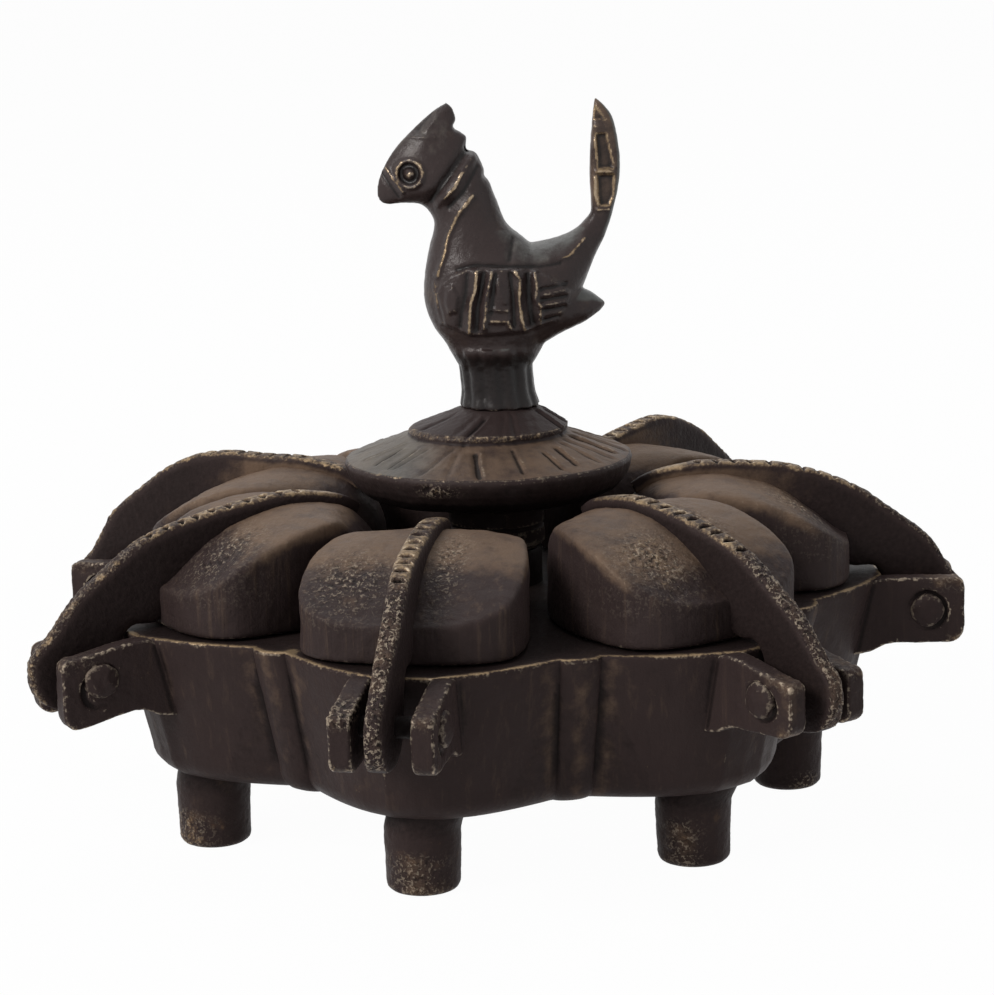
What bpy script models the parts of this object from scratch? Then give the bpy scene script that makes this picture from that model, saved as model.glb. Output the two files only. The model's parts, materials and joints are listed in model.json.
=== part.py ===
# A seven-lobed cast kumkum box: seven leaf-shaped cups with hinged domed lids round a
# bird that screws down in the middle. Metres, +Z up, standing on its feet at z = 0,
# with the origin in the middle of its footprint. The first lobe points to -Y.
import math

import bmesh
import bpy
from mathutils import Matrix, Vector

mm = 0.001
cut_overrun = 1.0 * mm  # how far every cutter runs past what it cuts
seat_gap = 0.3 * mm  # between pieces that rest on each other
weld_distance = 0.001 * mm

# Lobes
lobe_count = 7
lobe_turn = 2 * math.pi / lobe_count
first_lobe_heading = math.radians(-90)

# Casting: lobed wall with drafted sides and a flat deck
foot_shown = 11.7 * mm  # floor to the underside of the casting
casting_height = 23.7 * mm
web_radius = 62.3 * mm  # wall between the two ears of a hinge, at the deck
wall_root_radius = 59.8 * mm  # where the wall runs into an ear
wall_root_half = 8.6 * mm
wall_bulge_radius = 56.5 * mm  # pulls the wall out between ear and notch
wall_bulge_half = 14.2 * mm
notch_radius = 52.4 * mm  # centre of the half-round rib between two lobes
notch_rib_radius = 3.1 * mm
groove_width = 1.1 * mm
groove_depth = 0.9 * mm
wall_draft = 4.5 * mm
bottom_round = 3.5 * mm
deck_z = foot_shown + casting_height

# Hinge: a rivet through two ears and the tongue of the lid
eye_radius = 6.0 * mm  # rounded end of the tongue about the rivet
web_gap = 0.7 * mm
pin_drop = 5.3 * mm  # deck to rivet
pin_radius = 1.5 * mm
pin_play = 0.2 * mm
pin_head_radius = 2.3 * mm
pin_head_height = 0.95 * mm
pin_head_rise_share = 0.55  # of the head's height that is straight
pin_head_flat_share = 0.55  # of the head's radius that is flat on top
ear_reach = 6.0 * mm  # rivet to the end of the ear
ear_height = 10.6 * mm
ear_thickness = 3.4 * mm
ear_inner_half = 4.2 * mm
ear_low_round = 2.6 * mm
ear_top_round = 0.9 * mm
ear_root_depth = 6.0 * mm  # how far the ear is sunk in the wall
pin_rho = web_radius + web_gap + eye_radius
pin_z = deck_z - pin_drop
ear_outer_half = ear_inner_half + ear_thickness
ear_end = pin_rho + ear_reach

# Screw in the middle
stud_radius = 2.5 * mm
stud_play = 0.3 * mm
stud_depth = 15.0 * mm  # below the deck
stud_tip_round = 0.6 * mm
boss_radius = 8.2 * mm
boss_height = 5.6 * mm
boss_draft = 0.4 * mm
collar_radius = 7.6 * mm
collar_height = 8.6 * mm
collar_round = 0.7 * mm
bore_radius = stud_radius + stud_play
boss_top = deck_z + boss_height
collar_bottom = boss_top + seat_gap
collar_top = collar_bottom + collar_height

# Tiered disc
disc_radius = 22.9 * mm
disc_flat_radius = 19.6 * mm  # flat underside
disc_rim_drop = 4.0 * mm  # underside to the widest level
disc_rim_top = 5.9 * mm  # underside to the upper edge of the rim
disc_shoulder_radius = 22.2 * mm
tier_radius = 12.6 * mm
tier_foot = 9.4 * mm  # underside to the foot of the upper tier
tier_edge = 1.4 * mm
tier_round = 0.7 * mm
disc_height = 13.6 * mm
disc_top_radius = 6.3 * mm
disc_cut_count = 20
disc_cut_half = 0.35 * mm
disc_cut_depth = 0.55 * mm
disc_bottom = collar_top + seat_gap
disc_top = disc_bottom + disc_height

# Lids: hollow leaf-shaped domes
lid_swing_gap = 0.8 * mm  # nose of an opening lid to the rim of the disc
lid_end_margin = 5.3 * mm  # lid to the face of the web
lid_widest_margin = 10.5 * mm  # widest place to the outer end
lid_side_gap = 4.9 * mm  # widest place to the line between two lobes
lid_wall = 2.3 * mm
skirt_height = 4.2 * mm  # at the outer end and the nose
shoulder_rise = 4.0 * mm  # how much higher the skirt is at the sides
dome_height = 12.0 * mm  # above the skirt
dome_peak_inset = 7.4 * mm  # nose to the highest place
dome_ridge_inset = 12.0 * mm  # outer end to the end of the ridge
end_square_share = 0.7  # under 1 squares the outer end
section_square_share = 0.75  # under 1 squares the shoulders
nose_point_share = 1.3  # over 1 points the nose
dome_fall_share = 2.1  # how late the dome falls towards its outer end
cup_margin = 3.6 * mm  # edge of the lid to the edge of the cup
cup_floor = 4.0 * mm
cup_round = 5.0 * mm
nose_margin_share = 1.7  # a margin counts more at the narrow nose
lid_rim_z = deck_z + seat_gap
skirt_top = lid_rim_z + skirt_height
dome_top = skirt_top + dome_height
lid_end = web_radius - lid_end_margin
lid_widest = lid_end - lid_widest_margin
lid_half_width = (lid_widest * math.sin(lobe_turn / 2) - lid_side_gap) / math.cos(lobe_turn / 2)
disc_rim_z = disc_bottom + disc_rim_drop
swing_radius = math.hypot(pin_rho - disc_radius, disc_rim_z - pin_z) - lid_swing_gap
skirt_swing = math.sqrt(swing_radius**2 - (skirt_top - pin_z) ** 2)
lid_nose = pin_rho - skirt_swing + lid_swing_gap
dome_peak = lid_nose + dome_peak_inset
dome_ridge_end = lid_end - dome_ridge_inset

# Crest rib of a lid, which becomes its hinge tongue and tail
rib_height = 23.8 * mm  # rivet to the top of the rib
rib_nose_inset = 3.0 * mm  # nose of the lid to the nose of the rib
tail_reach = 9.2 * mm  # rivet to the outside of the tail
rib_half = 1.85 * mm
rib_nose_half = 0.7 * mm
tail_half = 1.45 * mm
rib_edge = 0.45 * mm
rib_sink = 3.0 * mm  # into the dome
tongue_rise = 0.7 * mm  # underside of the tongue over the deck
notch_count = 8
notch_spacing = 2.5 * mm
notch_cut_radius = 0.8 * mm
notch_lift = 0.25 * mm
notch_start_share = 0.17  # of the length of the rib
# Top of the rib: share of the way from nose to tail, and of the height above the rivet
rib_top_shares = [
    (0.0, 0.87),
    (0.06, 0.935),
    (0.13, 0.975),
    (0.24, 1.0),
    (0.40, 0.955),
    (0.49, 0.90),
    (0.575, 0.835),
    (0.665, 0.73),
    (0.755, 0.585),
    (0.83, 0.455),
    (0.89, 0.33),
    (0.935, 0.245),
    (0.98, 0.16),
    (1.0, 0.06),
    (0.995, -0.09),
    (0.965, -0.18),
]
rib_nose = lid_nose + rib_nose_inset
tail_end = pin_rho + tail_reach
eye_turns = [math.radians(turn) for turn in (285, 264, 243, 222, 201, 180)]

# Feet
foot_circle = 48.5 * mm
foot_radius = 5.65 * mm
foot_taper = 0.3 * mm
foot_round = 0.9 * mm
spigot_radius = 2.2 * mm
spigot_length = 2.6 * mm
spigot_play = 0.3 * mm
spigot_end_gap = 0.4 * mm

# Bird, facing -X before it is turned
finial_heading = math.radians(12.2)
bird_height = 48.0 * mm
bird_reach = 22.0 * mm  # from the screw's axis to the back of the tail
stem_radius = 5.9 * mm
stem_height = 8.0 * mm
stem_lean = 0.9 * mm
stem_bore = 4.0 * mm  # depth of the screw in the stem
flute_count = 12
flute_depth = 0.45 * mm
wing_raise = 0.55 * mm
bar_raise = 0.55 * mm
band_raise = 0.5 * mm
eye_ring_radius = 2.3 * mm
eye_hollow_radius = 1.65 * mm
pupil_radius = 0.7 * mm
eye_raise = 0.4 * mm
eye_depth = 0.5 * mm
bird_bottom = disc_top + seat_gap
# Sections as front x, front z, back x, back z and half width: shares of the reach,
# and of the height over the stem's foot
torso_shares = [
    (-0.24, 0.15, 0.33, 0.13, 0.26),
    (-0.31, 0.21, 0.42, 0.19, 0.29),
    (-0.39, 0.27, 0.50, 0.25, 0.315),
    (-0.43, 0.35, 0.53, 0.34, 0.325),
    (-0.42, 0.45, 0.50, 0.46, 0.315),
    (-0.38, 0.53, 0.33, 0.535, 0.255),
    (-0.35, 0.595, 0.165, 0.60, 0.21),
    (-0.365, 0.64, 0.105, 0.67, 0.20),
    (-0.44, 0.665, 0.06, 0.73, 0.20),
    (-0.57, 0.672, 0.0, 0.785, 0.195),
    (-0.70, 0.672, -0.05, 0.83, 0.185),
    (-0.745, 0.71, -0.10, 0.86, 0.175),
    (-0.70, 0.785, -0.13, 0.89, 0.15),
    (-0.58, 0.865, -0.16, 0.92, 0.115),
    (-0.43, 0.935, -0.175, 0.95, 0.075),
    (-0.30, 0.975, -0.20, 0.978, 0.04),
]
torso_tip_shares = (-0.235, 0.995)
tail_shares = [
    (0.09, 0.53, 0.09, 0.20, 0.30),
    (0.38, 0.535, 0.43, 0.21, 0.275),
    (0.55, 0.548, 0.60, 0.28, 0.225),
    (0.66, 0.565, 0.70, 0.38, 0.165),
    (0.72, 0.585, 0.80, 0.485, 0.11),
    (0.775, 0.605, 0.875, 0.55, 0.085),
    (0.785, 0.65, 0.94, 0.63, 0.08),
    (0.775, 0.72, 0.985, 0.72, 0.08),
    (0.775, 0.79, 1.0, 0.79, 0.078),
    (0.79, 0.87, 0.985, 0.87, 0.07),
    (0.80, 0.945, 0.945, 0.94, 0.055),
    (0.815, 0.985, 0.86, 0.985, 0.03),
]
tail_tip_shares = (0.82, 1.0)
vent_shares = [
    (0.28, 0.42, 0.28, 0.155, 0.265),
    (0.54, 0.40, 0.53, 0.22, 0.22),
    (0.74, 0.375, 0.72, 0.262, 0.14),
    (0.845, 0.345, 0.83, 0.30, 0.06),
]
vent_tip_shares = (0.875, 0.325)
wing_outline_shares = [
    (-0.33, 0.27),
    (-0.335, 0.34),
    (-0.28, 0.40),
    (-0.12, 0.45),
    (0.12, 0.455),
    (0.36, 0.445),
    (0.48, 0.41),
    (0.50, 0.33),
    (0.44, 0.26),
    (0.14, 0.235),
    (-0.12, 0.235),
]
bar_place_shares = [-0.16, -0.01, 0.17, 0.30]
bar_half_share = 0.028
bar_span_shares = (0.25, 0.44)
band_outline_shares = [(-0.54, 0.575), (-0.54, 0.625), (0.12, 0.80), (0.20, 0.765)]
eye_place_shares = (-0.50, 0.765)
eye_width_share = 0.175

# Sides of round pieces
pin_sides = 10
foot_sides = 14
stud_sides = 16
disc_sides = 40
leaf_point_count = 22
bird_point_count = 12
hole_sides = 24
hollow_point_count = 18
small_sides = 10
notch_sides = 6

# How far the axis of the lobes lies from the middle of the footprint
far_reach = tail_end * math.cos(lobe_turn / 2) + tail_half * math.sin(lobe_turn / 2)
axis_shift = (tail_end - far_reach) / 2


def clear_scene():
    for thing in list(bpy.data.objects):
        bpy.data.objects.remove(thing, do_unlink=True)


def bronze(name, colour, roughness):
    material = bpy.data.materials.new(name)
    material.use_nodes = True
    shader = material.node_tree.nodes["Principled BSDF"]
    shader.inputs["Base Color"].default_value = (*colour, 1.0)
    shader.inputs["Metallic"].default_value = 1.0
    shader.inputs["Roughness"].default_value = roughness
    return material


# Mesh building
def loft(bm, rings, cap_start=True, cap_end=True):
    """Quads from ring to ring; a ring of one point closes the loft in a tip."""
    made = [[bm.verts.new(point) for point in ring] for ring in rings]
    for low, high in zip(made, made[1:]):
        count = max(len(low), len(high))
        for k in range(count):
            n = (k + 1) % count
            corners = [low[k % len(low)], low[n % len(low)], high[n % len(high)], high[k % len(high)]]
            unique = list(dict.fromkeys(corners))
            bm.faces.new(unique)
    if cap_start and len(made[0]) > 2:
        bm.faces.new(reversed(made[0]))
    if cap_end and len(made[-1]) > 2:
        bm.faces.new(made[-1])


def finish_mesh(bm, name):
    """Weld, split into triangles and turn all faces outwards."""
    bmesh.ops.remove_doubles(bm, verts=bm.verts, dist=weld_distance)
    bmesh.ops.triangulate(bm, faces=bm.faces, ngon_method="EAR_CLIP")
    bmesh.ops.recalc_face_normals(bm, faces=bm.faces)
    mesh = bpy.data.meshes.new(name)
    bm.to_mesh(mesh)
    bm.free()
    return mesh


def scratch(name, bm):
    """A body that only helps to shape another: hidden, and shown as wire."""
    thing = bpy.data.objects.new(name, finish_mesh(bm, name))
    bpy.context.scene.collection.objects.link(thing)
    thing.hide_render = True
    thing.display_type = "WIRE"
    return thing


def shape(base, steps):
    """Joins, cuts or trims a body with others in turn, and gives the finished mesh."""
    for operation, tool in steps:
        modifier = base.modifiers.new(tool.name, "BOOLEAN")
        modifier.operation = operation
        modifier.solver = "EXACT"
        modifier.object = tool
    bpy.context.view_layer.update()
    seen = base.evaluated_get(bpy.context.evaluated_depsgraph_get())
    mesh = bpy.data.meshes.new_from_object(seen)
    for thing in [base] + [tool for _, tool in steps]:
        if thing.name in bpy.data.objects:
            bpy.data.objects.remove(thing, do_unlink=True)
    return mesh


def place(name, mesh, material, parent, location, heading, smooth_angle):
    mesh.materials.clear()
    mesh.materials.append(material)
    mesh.shade_smooth()
    mesh.set_sharp_from_angle(angle=smooth_angle)
    thing = bpy.data.objects.new(name, mesh)
    bpy.context.scene.collection.objects.link(thing)
    thing.parent = parent
    thing.location = location
    thing.rotation_euler = (0, 0, heading)
    return thing


def turned(bm, profile, sides, spin=0.0):
    """A solid of revolution about Z from (radius, z) points; radius 0 makes a tip."""
    rings = []
    for radius, z in profile:
        if radius == 0:
            rings.append([Vector((0, 0, z))])
            continue
        turns = [spin + 2 * math.pi * k / sides for k in range(sides)]
        rings.append([Vector((radius * math.cos(t), radius * math.sin(t), z)) for t in turns])
    loft(bm, rings)


def along_y(bm, start):
    """Turns what was added after the first start points from the Z axis to the Y axis."""
    bm.verts.ensure_lookup_table()
    for vert in bm.verts[start:]:
        vert.co = Vector((vert.co.x, vert.co.z, -vert.co.y))


def cross_rod(bm, x, z, radius, low_y, high_y, sides):
    """A round rod along Y."""
    start = len(bm.verts)
    turned(bm, [(radius, low_y), (radius, high_y)], sides)
    along_y(bm, start)
    for vert in bm.verts[start:]:
        vert.co += Vector((x, 0, z))


def slab(bm, outline, low_y, high_y):
    """An outline in XZ, thickened along Y."""
    loft(bm, [[Vector((x, y, z)) for x, z in outline] for y in (low_y, high_y)])


def arc(centre, radius, start, end, steps):
    turns = [start + (end - start) * k / steps for k in range(steps + 1)]
    return [(centre[0] + radius * math.cos(t), centre[1] + radius * math.sin(t)) for t in turns]


def heading_of(lobe):
    return first_lobe_heading + lobe * lobe_turn


def around(point, heading):
    return Matrix.Rotation(heading, 3, "Z") @ Vector(point)


# Casting
def half_wall():
    """Wall outline of half a lobe as (rho, tau), from its middle to the notch rib's crest."""
    outward = Vector((math.cos(lobe_turn / 2), math.sin(lobe_turn / 2)))
    inward = Vector((outward.y, -outward.x))  # along the wall, back to the lobe's middle
    notch = outward * notch_radius
    groove_edge = notch + inward * (notch_rib_radius + groove_width) + outward * groove_depth
    root = Vector((wall_root_radius, wall_root_half))
    bulge = Vector((wall_bulge_radius, wall_bulge_half))
    points = [Vector((web_radius, 0)), Vector((web_radius, ear_inner_half))]
    bezier_steps = 4
    for k in range(bezier_steps + 1):
        t = k / bezier_steps
        points.append(root * (1 - t) ** 2 + bulge * 2 * t * (1 - t) + groove_edge * t**2)
    for turn in (90, 45, 0):
        t = math.radians(turn)
        points.append(notch + (outward * math.cos(t) + inward * math.sin(t)) * notch_rib_radius)
    return points


def wall_outline():
    """The whole wall, each lobe from just past one notch rib's crest to the next one."""
    upper = half_wall()
    lower = [Vector((p.x, -p.y)) for p in reversed(upper[1:-1])]
    points = []
    for index in range(lobe_count):
        points += [around((p.x, p.y, 0), heading_of(index)) for p in lower + upper]
    return points


def casting_body():
    bm = bmesh.new()
    levels = [(0, deck_z), (wall_draft, foot_shown + bottom_round)]
    round_steps = 2
    for k in range(1, round_steps + 1):
        t = math.pi / 2 * k / round_steps
        inset = wall_draft + bottom_round * (1 - math.cos(t))
        levels.append((inset, foot_shown + bottom_round * (1 - math.sin(t))))
    outline = wall_outline()
    rings = []
    for inset, z in levels:
        ring = [p * (1 - inset / p.length) for p in outline]
        rings.append([Vector((p.x, p.y, z)) for p in ring])
    loft(bm, rings)
    return scratch("casting", bm)


def ear_profile():
    low = deck_z - ear_height
    low_centre = (ear_end - ear_low_round, low + ear_low_round)
    top_centre = (ear_end - ear_top_round, deck_z - ear_top_round)
    root = web_radius - ear_root_depth
    points = [(root, low)]
    points += arc(low_centre, ear_low_round, -math.pi / 2, 0, 3)
    points += arc(top_centre, ear_top_round, 0, math.pi / 2, 1)
    points.append((root, deck_z))
    return points


def ears():
    bm = bmesh.new()
    for index in range(lobe_count):
        for side in (-1, 1):
            start = len(bm.verts)
            near, far = sorted((side * ear_inner_half, side * ear_outer_half))
            slab(bm, ear_profile(), near, far)
            bm.verts.ensure_lookup_table()
            for vert in bm.verts[start:]:
                vert.co = around(vert.co, heading_of(index))
    return scratch("ears", bm)


def boss():
    bm = bmesh.new()
    turned(bm, [(boss_radius, deck_z - boss_height), (boss_radius, deck_z),
                (boss_radius - boss_draft, boss_top)], hole_sides)
    return scratch("boss", bm)


def leaf(inset, count):
    """Plan outline of a lid or a cup as (rho, tau), set in from the lid's edge."""
    end = lid_end - inset
    nose = lid_nose + inset * nose_margin_share
    half = lid_half_width - inset
    points = []
    for k in range(count):
        t = 2 * math.pi * k / count
        c, s = math.cos(t), math.sin(t)
        side = math.copysign(1, s)
        if c >= 0:
            rho = lid_widest + (end - lid_widest) * c**end_square_share
            tau = half * side * abs(s) ** end_square_share
        else:
            rho = lid_widest + (lid_widest - nose) * c
            tau = half * side * abs(s) ** nose_point_share
        points.append((rho, tau))
    return points


def shrunk(outline, share):
    middle = Vector((lid_widest, 0))
    points = [middle + (Vector(p) - middle) * share for p in outline]
    return [(p.x, p.y) for p in points]


def cups():
    """Seven leaf-shaped cups with rounded floors, as one cutter."""
    bm = bmesh.new()
    floor = foot_shown + cup_floor
    outline = leaf(cup_margin, hollow_point_count)
    half = lid_half_width - cup_margin
    levels = [(1.0, deck_z + cut_overrun), (1.0, floor + cup_round)]
    for turn in (45, 90):
        t = math.radians(turn)
        inset = cup_round * (1 - math.cos(t))
        levels.append((1 - inset / half, floor + cup_round * (1 - math.sin(t))))
    for index in range(lobe_count):
        heading = heading_of(index)
        rings = []
        for share, z in levels:
            rings.append([around((rho, tau, z), heading) for rho, tau in shrunk(outline, share)])
        loft(bm, rings)
    return scratch("cups", bm)


def holes():
    """Rivet holes, foot sockets and the hole for the screw, as one cutter."""
    bm = bmesh.new()
    hole_radius = pin_radius + pin_play
    reach = ear_outer_half + cut_overrun
    for index in range(lobe_count):
        start = len(bm.verts)
        cross_rod(bm, pin_rho, pin_z, hole_radius, -reach, reach, pin_sides)
        socket_top = foot_shown + spigot_length + spigot_end_gap
        socket = [(spigot_radius + spigot_play, foot_shown - cut_overrun)]
        socket.append((spigot_radius + spigot_play, socket_top))
        socket_start = len(bm.verts)
        turned(bm, socket, foot_sides)
        bm.verts.ensure_lookup_table()
        for vert in bm.verts[socket_start:]:
            vert.co.x += foot_circle
        for vert in bm.verts[start:]:
            vert.co = around(vert.co, heading_of(index))
    hole_bottom = deck_z - stud_depth - seat_gap
    turned(bm, [(bore_radius, hole_bottom), (bore_radius, boss_top + cut_overrun)], stud_sides)
    return scratch("holes", bm)


def body_mesh():
    steps = [("UNION", boss()), ("UNION", ears()), ("DIFFERENCE", cups()), ("DIFFERENCE", holes())]
    return shape(casting_body(), steps)


# Lids, modelled about the rivet with +X outwards
def crest(rho, peak_z, base_z, end):
    """Height of a dome along its ridge: level up to its peak, then falling to the end."""
    run = max(0.0, min(1.0, (rho - dome_peak) / (end - dome_peak)))
    return peak_z - (peak_z - base_z) * run**dome_fall_share


def dome(name, inset, rim_z, base_z, peak_z, count, turns):
    """A closed leaf-shaped dome with upright skirts, in the lid's own frame."""
    outline = leaf(inset, count)
    end = lid_end - inset
    start, stop = dome_peak, dome_ridge_end
    rings = [[(rho, tau, rim_z) for rho, tau in outline]]
    for turn in turns:
        inward = math.cos(math.radians(turn)) ** section_square_share
        upward = math.sin(math.radians(turn)) ** section_square_share
        ring = []
        for rho, tau in outline:
            ridge = max(start, min(stop, rho))
            near = ridge + (rho - ridge) * inward
            shoulder = base_z + shoulder_rise * abs(tau) / (lid_half_width - inset)
            rise = max(0.0, crest(near, peak_z, base_z, end) - shoulder) * upward
            ring.append((near, tau * inward, shoulder + rise))
        rings.append(ring)
    bm = bmesh.new()
    loft(bm, [[on_lid(p) for p in ring] for ring in rings], cap_end=False)
    last = rings[-1]
    top = [(max(start, min(stop, rho)), 0) for rho, _ in outline]
    made = [bm.verts.new(on_lid(p)) for p in last]
    spine = [bm.verts.new(on_lid((rho, 0, crest(rho, peak_z, base_z, end)))) for rho, _ in top]
    for k in range(count):
        n = (k + 1) % count
        bm.faces.new([made[k], made[n], spine[n], spine[k]])
    bmesh.ops.remove_doubles(bm, verts=bm.verts, dist=weld_distance)
    return scratch(name, bm)


def on_lid(point):
    return Vector((point[0] - pin_rho, point[1], point[2] - pin_z))


def rib_top():
    length = tail_end - rib_nose
    return [Vector((rib_nose + x * length, pin_z + z * rib_height)) for x, z in rib_top_shares]


def rib_bottom():
    """Underside of the rib from the tail back to the nose: eye, tongue, and inside the dome."""
    points = [Vector((pin_rho + eye_radius * math.cos(t), pin_z + eye_radius * math.sin(t)))
              for t in eye_turns]
    tongue_z = lid_rim_z + tongue_rise - seat_gap
    points.append(Vector((pin_rho - eye_radius, tongue_z)))
    points.append(Vector((lid_end - lid_wall / 2, tongue_z)))
    rows = 4
    far = lid_end - lid_wall
    for k in range(rows + 1):
        rho = far + (rib_nose - far) * k / rows
        points.append(Vector((rho, crest(rho, dome_top, skirt_top, lid_end) - rib_sink)))
    return points


def rib_width(rho):
    """Half width: widens from the nose, and narrows again to the tail."""
    full = rib_nose + (lid_end - rib_nose) / 2
    if rho < full:
        share = max(0.0, (rho - rib_nose) / (full - rib_nose))
        return rib_nose_half + (rib_half - rib_nose_half) * math.sin(share * math.pi / 2)
    share = (rho - full) / (tail_end - full)
    return rib_half + (tail_half - rib_half) * share


def inward_normals(path):
    """Unit normals of the top line, pointing into the rib."""
    normals = []
    for k in range(len(path)):
        run = path[min(k + 1, len(path) - 1)] - path[max(k - 1, 0)]
        normals.append(Vector((run.y, -run.x)).normalized())
    return normals


def rib_body():
    top, bottom = rib_top(), rib_bottom()
    chamfered = [p + n * rib_edge for p, n in zip(top, inward_normals(top))]
    rings = []
    for side in (-1, 1):
        faces = [(chamfered, 0), (top, rib_edge)]
        for line, inset in faces if side < 0 else reversed(faces):
            ring = [on_lid((p.x, side * (rib_width(p.x) - inset), p.y)) for p in line]
            ring += [on_lid((p.x, side * rib_width(p.x), p.y)) for p in bottom]
            rings.append(ring)
    bm = bmesh.new()
    loft(bm, rings)
    return scratch("rib", bm)


def point_on(path, distance):
    for near, far in zip(path, path[1:]):
        step = (far - near).length
        if distance <= step:
            return near + (far - near) * (distance / step)
        distance -= step
    return path[-1]


def rib_cuts():
    """Notches across the top of the rib, and the rivet's bore, as one cutter."""
    bm = bmesh.new()
    path = rib_top()
    start = notch_start_share * (tail_end - rib_nose)
    reach = rib_half + cut_overrun
    for k in range(notch_count):
        at = point_on(path, start + k * notch_spacing)
        spot = on_lid((at.x, 0, at.y + notch_lift))
        cross_rod(bm, spot.x, spot.z, notch_cut_radius, -reach, reach, notch_sides)
    cross_rod(bm, 0, 0, pin_radius + pin_play, -reach, reach, pin_sides)
    return scratch("rib_cuts", bm)


def lid_mesh():
    shell = dome("lid_shell", 0, lid_rim_z, skirt_top, dome_top, leaf_point_count, (0, 24, 48, 72))
    hollow_base = skirt_top - lid_wall / 2
    hollow = dome("lid_hollow", lid_wall, lid_rim_z - cut_overrun, hollow_base,
                  dome_top - lid_wall, hollow_point_count, (0, 34, 68))
    return shape(shell, [("UNION", rib_body()), ("DIFFERENCE", hollow), ("DIFFERENCE", rib_cuts())])


# Rivets, feet, screw, collar and disc
def pin_mesh():
    seat = ear_outer_half + seat_gap
    straight = seat + pin_head_height * pin_head_rise_share
    crown = pin_head_radius * pin_head_flat_share
    half = [(pin_radius, seat), (pin_head_radius, seat), (pin_head_radius, straight),
            (crown, seat + pin_head_height)]
    profile = [(radius, -y) for radius, y in reversed(half)] + half
    bm = bmesh.new()
    turned(bm, profile, pin_sides)
    along_y(bm, 0)
    return finish_mesh(bm, "hinge_pin")


def foot_mesh():
    top = foot_shown - seat_gap
    slim = foot_radius - foot_taper
    profile = [(slim - foot_round, 0), (slim, foot_round), (foot_radius, top), (spigot_radius, top),
               (spigot_radius, foot_shown + spigot_length)]
    bm = bmesh.new()
    turned(bm, profile, foot_sides)
    return finish_mesh(bm, "foot")


def stud_mesh():
    top = bird_bottom + stem_bore - stud_play
    profile = [(stud_radius, deck_z - stud_depth), (stud_radius, top - stud_tip_round),
               (stud_radius - stud_tip_round, top)]
    bm = bmesh.new()
    turned(bm, profile, stud_sides)
    return finish_mesh(bm, "screw_stud")


def bored(name, profile, sides, low, high, extra=()):
    """A turned piece with the screw's bore through it, and any further cutters."""
    bm = bmesh.new()
    turned(bm, profile, sides)
    hole = bmesh.new()
    turned(hole, [(bore_radius, low), (bore_radius, high)], stud_sides)
    steps = [("DIFFERENCE", scratch("bore", hole))]
    steps += [("DIFFERENCE", cutter) for cutter in extra]
    return shape(scratch(name, bm), steps)


def collar_mesh():
    edge = collar_radius - collar_round
    profile = [(edge, collar_bottom), (collar_radius, collar_bottom + collar_round),
               (collar_radius, collar_top - collar_round), (edge, collar_top)]
    return bored("collar", profile, hole_sides, collar_bottom - cut_overrun, collar_top + cut_overrun)


def disc_profile():
    rim = disc_bottom + disc_rim_top
    foot = disc_bottom + tier_foot
    rim_mid = (disc_flat_radius + disc_radius) / 2
    points = [(disc_flat_radius, disc_bottom), (rim_mid, disc_bottom + disc_rim_drop / 4)]
    points += [(disc_radius, disc_rim_z), (disc_shoulder_radius, rim)]
    points += [(tier_radius, foot), (tier_radius, foot + tier_edge - tier_round)]
    points += [(tier_radius - tier_round, foot + tier_edge), (disc_top_radius, disc_top)]
    return points


def radial_cuts():
    """Shallow vee cuts down the slope of the disc and of its upper tier."""
    bm = bmesh.new()
    foot = disc_bottom + tier_foot
    rim = disc_bottom + disc_rim_top
    slopes = [((tier_radius, foot), (disc_shoulder_radius, rim)),
              ((disc_top_radius, disc_top), (tier_radius, foot + tier_edge))]
    for (near, near_z), (far, far_z) in slopes:
        slope = (far_z - near_z) / (far - near)
        start = near + (far - near) / 5
        stop = far + cut_overrun if near_z == disc_top else far - (far - near) / 8
        for k in range(disc_cut_count):
            turn = 2 * math.pi * (k + 0.5) / disc_cut_count
            rings = []
            for rho in (start, stop):
                z = near_z + (rho - near) * slope
                vee = [(-disc_cut_half * 2, disc_cut_depth), (0, -disc_cut_depth),
                       (disc_cut_half * 2, disc_cut_depth)]
                rings.append([around((rho, tau, z + rise), turn) for tau, rise in vee])
            loft(bm, rings)
    return scratch("radial_cuts", bm)


def disc_mesh():
    return bored("disc", disc_profile(), disc_sides, disc_bottom - cut_overrun,
                 disc_top + cut_overrun, [radial_cuts()])


# Bird
def bird_x(share):
    return share * bird_reach


def bird_z(share):
    return bird_bottom + share * bird_height


def section_loft(name, shares, tip, grow=0.0):
    """Oval sections from a front point to a back point, closed in a tip."""
    rings = []
    for front_x, front_z, back_x, back_z, half in shares:
        front = Vector((bird_x(front_x), 0, bird_z(front_z)))
        back = Vector((bird_x(back_x), 0, bird_z(back_z)))
        middle, arm = (front + back) / 2, (back - front) / 2
        arm += arm.normalized() * grow
        width = half * bird_reach + grow
        turns = [2 * math.pi * k / bird_point_count for k in range(bird_point_count)]
        rings.append([middle + arm * math.cos(t) + Vector((0, width * math.sin(t), 0)) for t in turns])
    rings.append([Vector((bird_x(tip[0]), 0, bird_z(tip[1])))])
    bm = bmesh.new()
    loft(bm, rings)
    return scratch(name, bm)


def stem():
    """Fluted stem that leans a little into the breast."""
    bm = bmesh.new()
    rings = []
    for z, lean in ((bird_bottom, 0), (bird_bottom + stem_height, stem_lean)):
        ring = []
        for k in range(2 * flute_count):
            t = math.pi * k / flute_count
            radius = stem_radius - (k % 2) * flute_depth
            ring.append(Vector((lean + radius * math.cos(t), radius * math.sin(t), z)))
        rings.append(ring)
    loft(bm, rings)
    return scratch("stem", bm)


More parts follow.
